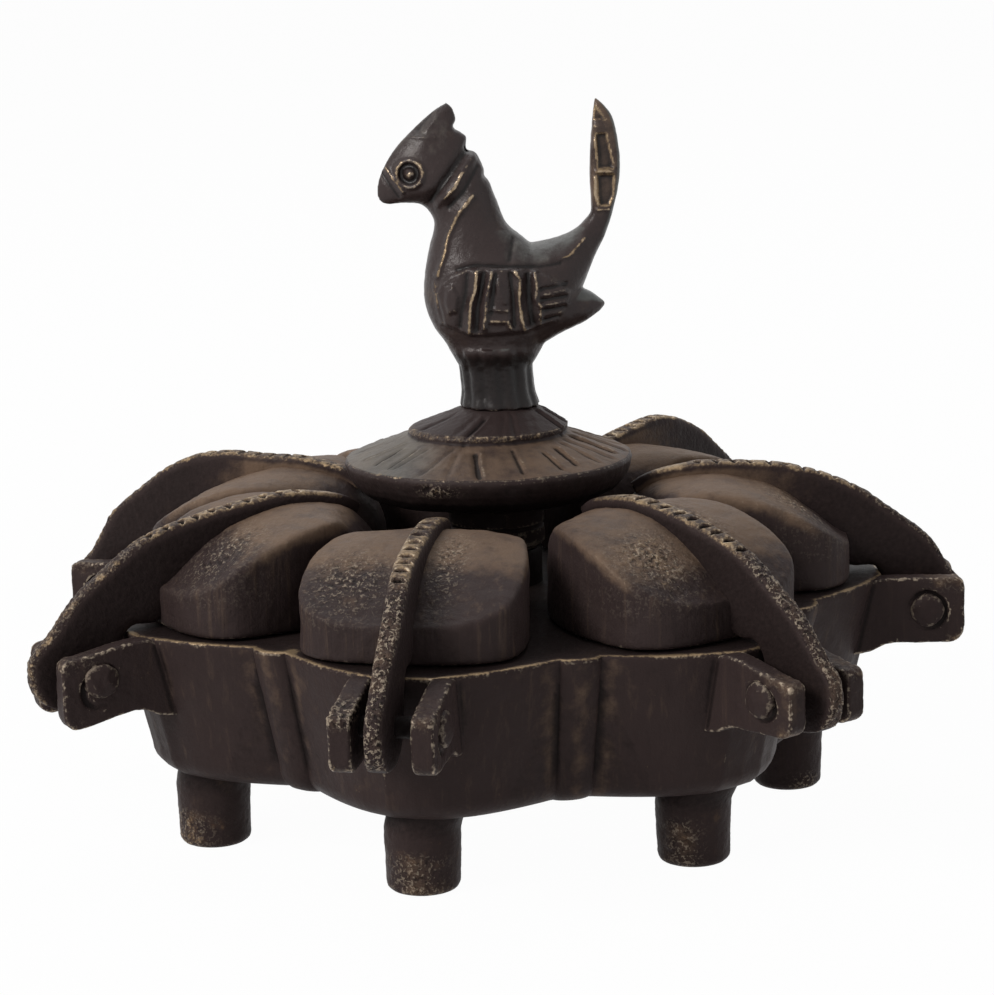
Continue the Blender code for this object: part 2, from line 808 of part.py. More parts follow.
def raised(name, outlines, grow):
    """What stands proud of the body inside one or more outlines."""
    bm = bmesh.new()
    for outline in outlines:
        slab(bm, [(bird_x(x), bird_z(z)) for x, z in outline], -bird_reach / 2, bird_reach / 2)
    skin = section_loft(name + "_skin", torso_shares, torso_tip_shares, grow)
    rump = section_loft(name + "_rump", tail_shares, tail_tip_shares, grow)
    mesh = shape(skin, [("UNION", rump), ("INTERSECT", scratch(name + "_prism", bm))])
    thing = bpy.data.objects.new(name, mesh)
    bpy.context.scene.collection.objects.link(thing)
    thing.hide_render = True
    thing.display_type = "WIRE"
    return thing


def bars():
    low, high = bar_span_shares
    outlines = []
    for place_share in bar_place_shares:
        left, right = place_share - bar_half_share, place_share + bar_half_share
        outlines.append([(left, low), (right, low), (right, high), (left, high)])
    return raised("bars", outlines, wing_raise + bar_raise)


def eyes(name, radius, reach):
    bm = bmesh.new()
    x, z = bird_x(eye_place_shares[0]), bird_z(eye_place_shares[1])
    cross_rod(bm, x, z, radius, -reach, reach, small_sides)
    return scratch(name, bm)


def eye_hollows(reach, floor):
    bm = bmesh.new()
    x, z = bird_x(eye_place_shares[0]), bird_z(eye_place_shares[1])
    for side in (-1, 1):
        near, far = sorted((side * floor, side * (reach + cut_overrun)))
        cross_rod(bm, x, z, eye_hollow_radius, near, far, small_sides)
    return scratch("eye_hollows", bm)


def bird_mesh():
    torso = section_loft("torso", torso_shares, torso_tip_shares)
    tail = section_loft("tail", tail_shares, tail_tip_shares)
    vent = section_loft("vent", vent_shares, vent_tip_shares)
    wing = raised("wing", [wing_outline_shares], wing_raise)
    band = raised("band", [band_outline_shares], band_raise)
    reach = eye_width_share * bird_reach + eye_raise
    bore = bmesh.new()
    turned(bore, [(bore_radius, bird_bottom - cut_overrun), (bore_radius, bird_bottom + stem_bore)],
           stud_sides)
    steps = [("UNION", tail), ("UNION", vent), ("UNION", stem()), ("UNION", wing), ("UNION", bars()),
             ("UNION", band), ("UNION", eyes("eye_rings", eye_ring_radius, reach)),
             ("DIFFERENCE", eye_hollows(reach, reach - eye_depth)),
             ("UNION", eyes("pupils", pupil_radius, reach)), ("DIFFERENCE", scratch("bore", bore))]
    return shape(torso, steps)


def main():
    clear_scene()
    dark = bronze("dark_bronze", (0.055, 0.042, 0.038), 0.5)
    worn = bronze("worn_bronze", (0.16, 0.115, 0.075), 0.45)
    steel = bronze("rivet_metal", (0.07, 0.06, 0.055), 0.4)
    crisp = math.radians(32)
    soft = math.radians(50)
    axis = bpy.data.objects.new("box_axis", None)
    axis.location = (0, axis_shift, 0)
    bpy.context.scene.collection.objects.link(axis)

    place("body", body_mesh(), dark, axis, (0, 0, 0), 0, crisp)
    lid, pin, foot = lid_mesh(), pin_mesh(), foot_mesh()
    for index in range(lobe_count):
        heading = heading_of(index)
        number = index + 1
        hinge = around((pin_rho, 0, pin_z), heading)
        place(f"lid_{number}", lid, worn, axis, hinge, heading, soft)
        place(f"hinge_pin_{number}", pin, steel, axis, hinge, heading, crisp)
        place(f"foot_{number}", foot, dark, axis, around((foot_circle, 0, 0), heading), heading, crisp)
    place("screw_stud", stud_mesh(), steel, axis, (0, 0, 0), 0, crisp)
    place("lift_collar", collar_mesh(), dark, axis, (0, 0, 0), 0, crisp)
    place("lock_disc", disc_mesh(), worn, axis, (0, 0, 0), finial_heading, crisp)
    place("bird_finial", bird_mesh(), dark, axis, (0, 0, 0), finial_heading, soft)
    bpy.context.view_layer.update()


main()
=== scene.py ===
# Looks of a seven-lobed cast kumkum box with hinged domed lids and a screwed bird.
# Everything is modelled in millimetres about the lobes' axis, and shrunk to metres at the end.
import json
import math

import bmesh
import bpy
import numpy as np
from mathutils import Matrix, Vector


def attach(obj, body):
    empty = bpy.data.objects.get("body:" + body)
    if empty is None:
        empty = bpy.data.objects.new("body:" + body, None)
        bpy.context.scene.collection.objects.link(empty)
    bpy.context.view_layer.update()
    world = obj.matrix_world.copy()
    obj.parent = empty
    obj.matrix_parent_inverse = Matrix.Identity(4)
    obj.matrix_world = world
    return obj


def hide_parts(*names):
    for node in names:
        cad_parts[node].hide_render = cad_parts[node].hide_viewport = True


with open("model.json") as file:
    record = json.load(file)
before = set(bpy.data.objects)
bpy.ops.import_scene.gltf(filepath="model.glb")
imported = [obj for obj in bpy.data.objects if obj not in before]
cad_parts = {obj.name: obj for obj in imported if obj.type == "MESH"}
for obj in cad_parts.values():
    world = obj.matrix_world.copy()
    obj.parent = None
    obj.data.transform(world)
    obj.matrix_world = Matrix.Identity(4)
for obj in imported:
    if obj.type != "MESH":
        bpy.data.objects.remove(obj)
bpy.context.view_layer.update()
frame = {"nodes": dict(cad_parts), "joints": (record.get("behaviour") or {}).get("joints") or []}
axisY = next(joint for joint in frame["joints"] if joint["name"] == "finial_turn")["pos_m"][1] * 1000
lobeCount = 7
headings = [math.radians(-90 + 360 / lobeCount * k) for k in range(lobeCount)]
halfLobe = math.pi / lobeCount

# heights, and the hinge in a lobe's own frame: rho is outwards from the axis, tau sideways
levels = {"under": 12.1, "deck": 35.4, "lidRim": 35.7, "pin": 30.1}
hinge = {"rho": 69.0, "end": 75.0, "inner": 4.2, "outer": 7.6}


def only(*things):
    bpy.ops.object.select_all(action="DESELECT")
    for thing in things:
        thing.select_set(True)
    bpy.context.view_layer.objects.active = things[0]


def modified(thing, kind, **settings):
    only(thing)
    modifier = thing.modifiers.new(kind.title(), kind)
    for key, value in settings.items():
        setattr(modifier, key, value)
    bpy.ops.object.modifier_apply(modifier=modifier.name)
    return thing


def read(rows, name, width=1, kind=np.float32):
    flat = np.empty(len(rows) * width, kind)
    rows.foreach_get(name, flat)
    return flat.reshape(-1, width) if width > 1 else flat


def getPoints(thing):
    return read(thing.data.vertices, "co", 3).astype(float)


def setPoints(thing, places):
    thing.data.vertices.foreach_set("co", places.astype(np.float32).ravel())
    thing.data.update()


def shifted(thing, x=0.0, y=0.0, z=0.0):
    # by one distance, or by one for every point
    places = getPoints(thing)
    for k, distance in enumerate((x, y, z)):
        places[:, k] += distance
    setPoints(thing, places)
    return thing


def getNormals(thing):
    return read(thing.data.vertex_normals, "vector", 3).astype(float)


def evened(thing, rounds):
    # each point drawn to the mean of its neighbours, round after round
    places = getPoints(thing)
    first, second = read(thing.data.edges, "vertices", 2, np.int32).T
    count = len(places)
    near = np.maximum(np.bincount(first, minlength=count) + np.bincount(second, minlength=count), 1)
    for _ in range(rounds):
        sums = np.stack([np.bincount(first, row[second], count) + np.bincount(second, row[first], count)
                         for row in places.T], axis=1)
        places = 0.4 * places + 0.6 * sums / near[:, None]
    return places


def numbered(thing, **layers):
    # a number for every point under each name, for the shaders to read
    for name, values in layers.items():
        layer = thing.data.attributes.get(name) or thing.data.attributes.new(name, "FLOAT", "POINT")
        layer.data.foreach_set("value", np.clip(values, -1, 1).astype(np.float32))


def getNumbers(thing, name):
    return read(thing.data.attributes[name].data, "value")


def softStep(low, high, values):
    share = np.clip((values - low) / (high - low), 0, 1)
    return share * share * (3 - 2 * share)


def band(start, full, fading, end, values):
    return softStep(start, full, values) * (1 - softStep(fading, end, values))


def bell(values, place, width):
    return np.exp(-((values - place) / width) ** 2)


def turns(start, stop, step):
    # from whole degrees, the stop left out
    return [math.radians(angle) for angle in range(start, stop, step)]


def superRound(turn, power):
    c, s = math.cos(turn), math.sin(turn)
    return math.copysign(abs(c) ** power, c), math.copysign(abs(s) ** power, s)


def smoothRows(rows, steps):
    # rows of a table, with a smooth curve through each column
    rows = [np.array(row, float) for row in rows]
    out = []
    for k in range(len(rows) - 1):
        before, near = rows[max(k - 1, 0)], rows[k]
        far, after = rows[k + 1], rows[min(k + 2, len(rows) - 1)]
        for step in range(steps):
            t = step / steps
            out.append(near + 0.5 * t * ((far - before) + t * ((2 * before - 5 * near + 4 * far - after)
                       + t * (3 * (near - far) + after - before))))
    return out + [rows[-1]]


def closed(threshold):
    # from edit mode: one skin, facing outwards
    bpy.ops.mesh.select_all(action="SELECT")
    bpy.ops.mesh.remove_doubles(threshold=threshold)
    bpy.ops.mesh.normals_make_consistent(inside=False)
    bpy.ops.object.mode_set(mode="OBJECT")


def turnedOver(thing):
    # faces outwards again after a mirroring
    only(thing)
    bpy.ops.object.mode_set(mode="EDIT")
    bpy.ops.mesh.select_all(action="SELECT")
    bpy.ops.mesh.flip_normals()
    bpy.ops.object.mode_set(mode="OBJECT")
    return thing


def begun(name, primitive, **settings):
    # a new mesh, in edit mode
    bpy.ops.object.select_all(action="DESELECT")
    primitive(**settings)
    thing = bpy.context.object
    thing.name = thing.data.name = name
    bpy.ops.object.mode_set(mode="EDIT")
    return thing, bmesh.from_edit_mesh(thing.data)


def ringLoft(name, rings, tip=None):
    # a circle set on the first ring, then extruded ring by ring
    thing, work = begun(name, bpy.ops.mesh.primitive_circle_add, vertices=len(rings[0]))
    row = list(work.verts)
    for vert, place in zip(row, rings[0]):
        vert.co = place
    for ring in rings[1:]:
        bpy.ops.mesh.extrude_edges_move()
        work = bmesh.from_edit_mesh(thing.data)
        nextRow = []
        for vert in row:
            nextRow.append([edge.other_vert(vert) for edge in vert.link_edges
                            if edge.other_vert(vert).select][0])
        row = nextRow
        for vert, place in zip(row, ring):
            vert.co = place
    work.verts.ensure_lookup_table()
    work.faces.new([work.verts[k] for k in range(len(row))])
    if tip is None:
        work.faces.new(row)
    else:
        peak = work.verts.new(tip)
        for k, vert in enumerate(row):
            work.faces.new((vert, row[(k + 1) % len(row)], peak))
    bmesh.update_edit_mesh(thing.data)
    closed(0.001)
    return thing


def spun(name, profile, steps):
    # a profile as (radius, z) from the axis and back to it, spun round
    thing, work = begun(name, bpy.ops.mesh.primitive_plane_add)
    bmesh.ops.delete(work, geom=list(work.verts)[1:], context="VERTS")
    work.verts.ensure_lookup_table()
    work.verts[0].co = (profile[0][0], 0, profile[0][1])
    work.verts[0].select = True
    work.select_flush(True)
    bmesh.update_edit_mesh(thing.data)
    for (x, z), (nextX, nextZ) in zip(profile, profile[1:]):
        bpy.ops.mesh.extrude_vertices_move(
            TRANSFORM_OT_translate={"value": (nextX - x, 0, nextZ - z)})
    bpy.ops.mesh.select_all(action="SELECT")
    bpy.ops.mesh.spin(steps=steps, angle=2 * math.pi, center=(0, 0, 0), axis=(0, 0, 1))
    closed(0.002)
    return thing


def dense(points, spacing):
    # a polyline with points about every spacing
    out = []
    for (x0, y0), (x1, y1) in zip(points, points[1:]):
        count = max(1, round(math.hypot(x1 - x0, y1 - y0) / spacing))
        out += [(x0 + (x1 - x0) * k / count, y0 + (y1 - y0) * k / count) for k in range(count)]
    return out + [points[-1]]


def remeshed(thing, voxel, smoothing):
    modified(thing, "REMESH", mode="VOXEL", voxel_size=voxel)
    return modified(thing, "SMOOTH", factor=0.5, iterations=smoothing)


def copied(thing, name):
    copy = thing.copy()
    copy.data = thing.data.copy()
    copy.name = copy.data.name = name
    bpy.context.scene.collection.objects.link(copy)
    return copy


def joined(name, things):
    only(*things)
    bpy.ops.object.join()
    things[0].name = things[0].data.name = name
    return things[0]


def removed(*things):
    for thing in things:
        bpy.data.objects.remove(thing, do_unlink=True)


def cut(thing, tool, operation="DIFFERENCE"):
    modified(thing, "BOOLEAN", operation=operation, solver="EXACT", object=tool)
    removed(tool)


def swung(thing, heading):
    # round the origin, and on to the lobes' axis
    x, y, z = getPoints(thing).T
    c, s = math.cos(heading), math.sin(heading)
    setPoints(thing, np.stack([c * x - s * y, axisY + s * x + c * y, z], axis=1))
    return thing


def toLobe(thing, lobe, mirror=False):
    # from the lobe's own frame (outwards, sideways, up) to its place round the axis
    if mirror:
        setPoints(thing, getPoints(thing) * (1, -1, 1))
        turnedOver(thing)
    return swung(thing, headings[lobe])


def inLobe(thing, lobe):
    # outward and sideways distances in a lobe's own frame, and the height
    x, y, z = getPoints(thing).T
    c, s = math.cos(headings[lobe]), math.sin(headings[lobe])
    return c * x + s * (y - axisY), -s * x + c * (y - axisY), z


grains = {}


def roughened(thing, strength, size, weights=None, depth=3, seed=0):
    # cast or hammered unevenness in the mesh itself, where the weights say, in ten steps
    key = f"grain{size}_{depth}"
    if key not in grains:
        grains[key] = bpy.data.textures.new(key, "CLOUDS")
        grains[key].noise_scale = size
        grains[key].noise_depth = depth
        grains[key].noise_basis = "IMPROVED_PERLIN"
    group = ""
    if weights is not None:
        made = thing.vertex_groups.new(name=key)
        group = made.name
        step = np.round(np.clip(weights, 0, 1) * 10).astype(int)
        for k in range(1, 11):
            made.add([int(i) for i in np.nonzero(step == k)[0]], k / 10, "REPLACE")
    # a seed takes the piece to another part of the grain and back
    shift = Vector((17.3, -8.1, 5.7)) * seed
    shifted(thing, *shift)
    modified(thing, "DISPLACE", texture=grains[key], texture_coords="LOCAL", mid_level=0.5,
             strength=strength, vertex_group=group)
    return shifted(thing, *-shift)


def ridged(thing, rounds, size):
    # how far each point stands out of its evened surroundings
    proud = ((getPoints(thing) - evened(thing, rounds)) * getNormals(thing)).sum(axis=1)
    numbered(thing, ridge=proud / size)


def finished(thing, body, slot, finish, *nodes, angle=None):
    if angle is None:
        thing.data.shade_smooth()
    else:
        only(thing)
        bpy.ops.object.shade_smooth_by_angle(angle=math.radians(angle))
    thing.vertex_groups.clear()
    setPoints(thing, getPoints(thing) * 0.001)
    thing.data.materials.clear()
    thing.data.materials.append(finishes[finish])
    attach(thing, body)
    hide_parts(*nodes)


def fromLine(flat, line):
    # how far from a polyline each point lies, and how far along it
    best, along, run = np.full(len(flat), 1e9), np.zeros(len(flat)), 0.0
    for a, b in zip(line, line[1:]):
        step = np.subtract(b, a)
        length = np.linalg.norm(step)
        share = np.clip((flat - a) @ step / (length * length), 0, 1)
        far = np.linalg.norm(flat - a - share[:, None] * step, axis=1)
        nearer = far < best
        best[nearer], along[nearer] = far[nearer], (run + share * length)[nearer]
        run += length
    return best, along


def insideDistance(flat, outline):
    # positive inside the outline, negative outside
    ring = outline + outline[:1]
    far, _ = fromLine(flat, ring)
    inside = np.zeros(len(flat), bool)
    for (x0, y0), (x1, y1) in zip(ring, ring[1:]):
        crosses = (y0 > flat[:, 1]) != (y1 > flat[:, 1])
        at = (x1 - x0) * (flat[:, 1] - y0) / ((y1 - y0) or 1e-9) + x0
        inside ^= crosses & (flat[:, 0] < at)
    return np.where(inside, far, -far)


def put(place, value, tree):
    # links a tone to the socket, or sets a plain value
    if isinstance(value, Tone):
        tree.links.new(value.socket, place)
    else:
        place.default_value = value


class Tone:
    # a value in a shader, for sums
    def __init__(self, tree, socket):
        self.tree, self.socket = tree, socket

    def maths(self, operation, first, second):
        node = self.tree.nodes.new("ShaderNodeMath")
        node.operation = operation
        for place, value in zip(node.inputs, (first, second)):
            put(place, value, self.tree)
        return Tone(self.tree, node.outputs[0])

    def __add__(self, other):
        return self.maths("ADD", self, other)

    def __sub__(self, other):
        return self.maths("SUBTRACT", self, other)

    def __rsub__(self, other):
        return self.maths("SUBTRACT", other, self)

    def __mul__(self, other):
        return self.maths("MULTIPLY", self, other)

    def __abs__(self):
        return self.maths("ABSOLUTE", self, 0.0)

    __radd__ = __add__
    __rmul__ = __mul__


class Finish:
    def __init__(self, name, kind="materials"):
        self.owner = getattr(bpy.data, kind).new(name)
        self.owner.use_nodes = True
        self.tree = self.owner.node_tree
        self.tree.nodes.clear()

    def node(self, kind, settings, sockets, output=0):
        node = self.tree.nodes.new("ShaderNode" + kind)
        for key, value in settings.items():
            setattr(node, key, value)
        for key, value in sockets.items():
            put(node.inputs[key], value, self.tree)
        return Tone(self.tree, node.outputs[output])

    def millimetres(self, stretch=(1, 1, 1)):
        place = self.node("TexCoord", {}, {}, "Object")
        return self.node("Mapping", {"vector_type": "POINT"},
                         {"Vector": place, "Scale": tuple(1000 * s for s in stretch)})

    def noise(self, scale, detail=3.0, rough=0.55, stretch=(1, 1, 1), shift=0.0):
        # from -0.5 to 0.5
        return self.node("TexNoise", {"noise_dimensions": "4D"},
                         {"Vector": self.millimetres(stretch), "Scale": scale, "Detail": detail,
                          "Roughness": rough, "W": shift}) - 0.5

    def number(self, name):
        return self.node("Attribute", {"attribute_name": name}, {}, "Fac")

    def ranged(self, value, low, high, bottom=0.0, top=1.0):
        return self.node("MapRange", {"interpolation_type": "SMOOTHSTEP"},
                         {"Value": value, "From Min": low, "From Max": high,
                          "To Min": bottom, "To Max": top})

    def blend(self, share, first, second):
        node = self.tree.nodes.new("ShaderNodeMix")
        node.data_type, node.clamp_factor = "RGBA", True
        for place, value in ((0, share), (6, first), (7, second)):
            put(node.inputs[place], value, self.tree)
        return Tone(self.tree, node.outputs[2])

    def straightRays(self):
        # 1 where the eye looks, straight, by a mirror or through glass
        camera, glossy, through = (self.node("LightPath", {}, {}, f"Is {kind} Ray")
                                   for kind in ("Camera", "Glossy", "Transmission"))
        return camera + glossy + through

    def output(self, shader, kind="Material"):
        out = self.tree.nodes.new("ShaderNodeOutput" + kind)
        self.tree.links.new(shader.socket, out.inputs["Surface"])
        return self.owner


bronzeValues = {
    # the deepest colour is painted shade and dirt as well as dark streaks and pits
    "deep": (0.0070, 0.0048, 0.0046, 1),
    "dark": (0.036, 0.0243, 0.0232, 1),
    "brown": (0.152, 0.101, 0.070, 1),
    "gold": (0.270, 0.192, 0.115, 1),
    "bright": (0.50, 0.41, 0.31, 1),
    "rust": (0.105, 0.052, 0.027, 1),
    # a pale grey for the painted sheen
    "sheenGrey": (0.150, 0.158, 0.150, 1),
}


def bronze(name, streakShare, edgeShare, grainDepth, sheenShare=0.0, rust=0.0, gloss=0.07, roughness=0.52):
    # dark patina, brown where handled, golden where the patina is gone, pitted where the casting was rough;
    # painted light: lighter brown on faces that look up, a pale grey painted sheen, bright edges partly
    # painted highlight; painted shade with some dirt in the darkest coat
    f = Finish(name)
    ridge, wear, brown, pits, sunk, sheen = map(f.number, ("ridge", "wear", "brown", "pits", "sunk", "sheen"))
    cloud = f.noise(0.055, 3.0, shift=1.0)
    mottle = f.noise(0.38, 5.0, 0.6, shift=2.0)
    grain = f.noise(1.7, 4.0, 0.65, shift=3.0)
    speck = f.noise(2.1, 2.0, 0.55, shift=4.0)
    streak = f.noise(0.9, 4.0, 0.6, stretch=(1, 1, 0.08), shift=5.0)
    hollow = f.noise(1.5, 2.0, 0.6, shift=6.0)
    worm = abs(f.noise(1.0, 2.0, 0.6, shift=7.0))
    gold = f.ranged(wear + mottle * 1.3 + grain * 1.5 + ridge * 0.12, 0.38, 0.82)
    sparks = f.ranged(worm, 0.02, 0.075, 1.0, 0.0) * f.ranged(speck + ridge * 0.14, 0.0, 0.10) * pits
    edge = f.ranged(ridge + grain * 1.8 + mottle * 1.2, 0.75, 1.2) * edgeShare
    # coat over coat: where each one is, and its colour
    coats = (
        # brown: handled wear and streaks, and painted light on faces that look up
        (f.ranged(brown + cloud * 1.1 + mottle * 1.3, 0.15, 1.0), "brown"),
        (f.ranged(streak, 0.02, 0.28) * streakShare, "brown"),
        (f.ranged(0 - streak, 0.04, 0.3) * streakShare, "deep"),
        # painted sheen: a pale grey reflection laid into the colour
        (f.ranged(sheen + mottle * 1.2, 0.1, 0.9) * sheenShare, "sheenGrey"),
        (gold, "gold"),
        (f.ranged(wear + mottle * 2.4, 0.3, 0.9) * rust, "rust"),
        # painted shade, with some dirt, under parts and in hollows, and painted shade in creases
        (f.ranged(sunk + (0 - ridge) * 0.45 + grain * 0.35, 0.12, 0.85) * 0.92, "deep"),
        (f.ranged(hollow + ridge * -0.08, 0.03, 0.10) * pits * 0.85, "deep"),
        (sparks * 0.55, "bright"),
        # bright on ridges: worn edges with painted highlight
        (edge, "bright"),
    )
    colour = bronzeValues["dark"]
    for share, coat in coats:
        colour = f.blend(share, colour, bronzeValues[coat])
    height = grain * 0.4 + mottle * 0.6 + streak * streakShare * 1.2 + (speck - hollow) * pits * 1.3
    bump = f.node("Bump", {}, {"Height": height, "Strength": 0.8 * grainDepth, "Distance": 0.00035})
    rough = roughness + mottle * 0.3 + grain * 0.2 - gold * 0.1 - edge * 0.12
    metal = 0.06 + gold * 0.45 + edge * 0.35 + sparks * 0.3
    shader = f.node("BsdfPrincipled", {}, {"Base Color": colour, "Roughness": rough, "Metallic": metal,
                                           "Specular IOR Level": gloss, "Normal": bump})
    return f.output(shader)


finishes = {
    "wall": bronze("wallBronze", 0.22, 0.35, 0.7),
    "ear": bronze("earBronze", 0.15, 0.58, 0.8),
    "lid": bronze("lidBronze", 0.35, 0.25, 1.0, gloss=0.1),
    "rib": bronze("ribBronze", 0.0, 0.7, 1.2),
    "foot": bronze("footBronze", 0.1, 0.3, 1.1, rust=0.5),
    "disc": bronze("discBronze", 0.0, 0.3, 0.8, sheenShare=0.5, gloss=0.12),
    "bird": bronze("birdBronze", 0.0, 0.45, 0.7, sheenShare=0.7, gloss=0.24, roughness=0.32),
    "rivet": bronze("rivetBronze", 0.0, 0.35, 0.7),
}
print("finishes made")


# casting: lobed wall, deck and cups
casting = {
    "web": 62.3, "root": (59.8, 8.6), "bulge": (57.0, 13.6), "notch": 54.0, "ribHalf": 3.1,
    # how much rounder the wall is under the ears than between them, by sideways distance
    "rounder": ((0, 0.2), (4.2, 0.5), (6.4, 0.25), (8.6, 0)),
    "ribRise": 0.85, "groove": 0.25, "draft": 4.5, "bottomRound": 4.2, "rimRound": 0.45, "spacing": 0.55,
    # insets of the rings that carry the deck's colours, and the rows down the wall
    "deckRings": (3.0, 1.7, 1.0), "rows": 26,
    "boss": [(0, 30), (8.2, 30), (8.2, 40.3), (7.8, 40.95), (0, 41.0)],
    # strength and size of the unevenness, and the place of the one pale spot on the deck
    "soft": (0.55, 9.0), "fine": (0.20, 1.6), "spot": (-19.6, -45.4),
}
lid = {
    "end": 57.0, "widest": 46.5, "half": 16.95, "nose": 19.53, "wall": 2.3, "skirt": 39.9,
    "shoulderRise": 4.0, "top": 52.5, "peak": 26.93, "ridgeEnd": 45.0, "endSquare": 0.7,
    "endBase": 41.8, "crown": 1.5, "sectionSquare": 0.94, "nosePoint": 1.15, "noseMargin": 1.7,
    "fall": 2.8, "noseEnd": 38.0, "noseFall": 4.0, "voxel": 0.36,
    # what sets the front lid apart
    "lower": 1.5, "lean": -1.7, "narrower": 0.975,
    # how far out each lid's top is painted lighter brown, a painted light, and how golden its rough patch is
    "paintedTopLightTo": (50.5, 55, 54, 52, 52, 54, 51), "golden": (0.2, 0.5, 0.3, 0.2, 0.2, 0.3, 0.25),
    "cupMargin": 3.6, "cupFloor": 15.7, "cupRound": 5.0,
}


def leafOutline(inset, count):
    end, nose = lid["end"] - inset, lid["nose"] + inset * lid["noseMargin"]
    half = lid["half"] - inset
    points = []
    for k in range(count):
        t = 2 * math.pi * k / count
        c, s = math.cos(t), math.sin(t)
        if c >= 0:
            rho = lid["widest"] + (end - lid["widest"]) * c ** lid["endSquare"]
            tau = math.copysign(half * abs(s) ** lid["endSquare"], s)
        else:
            rho = lid["widest"] + (lid["widest"] - nose) * c
            tau = math.copysign(half * abs(s) ** lid["nosePoint"], s)
        points.append((rho, tau))
    return points


def halfWall():
    # one side of a lobe, from the ears to the middle of the rib in the notch
    v = casting
    outward = Vector((math.cos(halfLobe), math.sin(halfLobe)))
    inward = Vector((outward.y, -outward.x))
    notch = outward * v["notch"]
    valley = notch + inward * (v["ribHalf"] + 0.7) - outward * v["groove"] * 0.3
    root, bulge = Vector(v["root"]), Vector(v["bulge"])
    points = [Vector((v["web"], 0)), Vector((v["web"], hinge["inner"]))]
    points += [root * (1 - t) ** 2 + bulge * 2 * t * (1 - t) + valley * t ** 2
               for t in (k / 14 for k in range(15))]
    for k in range(12, -1, -1):
        across = v["ribHalf"] * k / 12
        rise = v["ribRise"] * math.cos(math.pi / 2 * k / 12) ** 0.8 - v["groove"] * (k / 12) ** 6
        points.append(notch + inward * across + outward * rise)
    return points


def wallOutline():
    # x, y, and how much rounder the wall's lower part is there
    half = dense([(p.x, p.y) for p in halfWall()], casting["spacing"])
    lobe = [(x, -y) for x, y in reversed(half[1:])] + half
    aside, less = zip(*casting["rounder"])
    points = []
    for heading in headings:
        c, s = math.cos(heading), math.sin(heading)
        points += [(c * x - s * y, s * x + c * y, float(np.interp(abs(y), aside, less)))
                   for x, y in lobe[:-1]]
    return points


def insideEdge(places):
    # how far in from the lobed outline each point lies
    x, y, _ = np.array(wallOutline()).T
    sideways = places[:, 1] - axisY
    edge = np.interp(np.arctan2(sideways, places[:, 0]), np.arctan2(y, x), np.hypot(x, y), period=2 * math.pi)
    return edge - np.hypot(places[:, 0], sideways)


def makeCasting():
    # the profile runs as inset and height from the deck over the rim and down to the underside
    v, deck = casting, levels["deck"]
    rim, curve = v["rimRound"], v["bottomRound"]
    profile = [(inset, deck) for inset in v["deckRings"]]
    profile += [(rim * (1 - math.sin(t)), deck - rim * (1 - math.cos(t)))
                for t in (math.radians(angle) for angle in (0, 22, 45, 68, 90))]
    high, low = profile[-1][1], levels["under"] + curve
    for k in range(1, v["rows"] + 1):
        share = k / v["rows"]
        profile.append((v["draft"] * share, high + (low - high) * share))
    profile += [(v["draft"] + curve * (1 - math.cos(t)), levels["under"] + curve * (1 - math.sin(t)))
                for t in turns(15, 91, 15)]
    outline = wallOutline()
    rings = []
    for inset, z in profile:
        rounder = 1 - softStep(22.5, 26.5, z)
        shares = [1 - (inset + less * rounder) / math.hypot(x, y) for x, y, less in outline]
        rings.append([(x * share, y * share, z) for (x, y, _), share in zip(outline, shares)])
    wall = ringLoft("castingWall", rings)
    cut(wall, spun("boss", v["boss"], 64), "UNION")
    half, floor = lid["half"] - lid["cupMargin"], lid["cupFloor"]
    outline = leafOutline(lid["cupMargin"], 88)
    shares = [(1.02, deck + 1), (1.0, deck - 0.5)] + [(1.0, deck - 0.5 - k * 1.5) for k in range(1, 9)]
    shares += [(1 - lid["cupRound"] * (1 - math.cos(t)) / half, floor + lid["cupRound"] * (1 - math.sin(t)))
               for t in turns(9, 91, 9)]
    rings = [[(lid["widest"] + (x - lid["widest"]) * share, y * share, z) for x, y in outline]
             for share, z in shares]
    cup = ringLoft("cup", rings)
    cups = [shifted(toLobe(copied(cup, f"cup{k}"), k), y=-axisY) for k in range(lobeCount)]
    removed(cup)
    cut(wall, joined("cups", cups))
    return shifted(wall, y=axisY)


wall = makeCasting()
x, y, height = getPoints(wall).T
fromAxis = np.hypot(x, y - axisY)
onWall = ((fromAxis > 44) & (height > 15.3) & (height < 34.9)).astype(float)
roughened(wall, *casting["soft"], onWall)
roughened(wall, *casting["fine"], onWall, depth=4)
places = getPoints(wall)
height, fromEdge = places[:, 2], insideEdge(places)
outerRim = bell(height, levels["deck"], 0.28) * bell(np.maximum(fromEdge, 0.4), 0.4, 0.6)
# painted shade: the deck round the lids, and the inside of the cups, are darkened
onDeck = softStep(35.1, 35.35, height) * (1 - outerRim)
inCup = (fromAxis < 53) & (height < 35.0) & (height > 12.5)
shadeAndDirt = onDeck * 0.62 + inCup * 0.3
brown = np.zeros(len(places))
for lobe in range(lobeCount):
    rho, tau, _ = inLobe(wall, lobe)
    # painted shade with some dirt where the wall meets each ear and between the ears of a pair
    besideEar = bell(np.abs(tau), 8.0, 0.5) * (rho > 58) * softStep(23.5, 25.0, height)
    between = bell(tau, 0, 3.6) * (rho > 60) * softStep(22, 25, height)
    shadeAndDirt = np.maximum(shadeAndDirt, np.maximum(besideEar * 0.6, between * 0.5))
    turn = np.abs(np.arctan2(tau, rho)) - halfLobe
    streaks = bell(turn, -0.085, 0.022) + 0.6 * bell(turn, -0.01, 0.018)
    brown += streaks * (rho > 40) * (height < 35.1) * 0.30
spotX, spotY = casting["spot"]
spot = bell(places[:, 0], spotX, 1.3) * bell(places[:, 1], spotY, 1.6) * (height > 35.2)
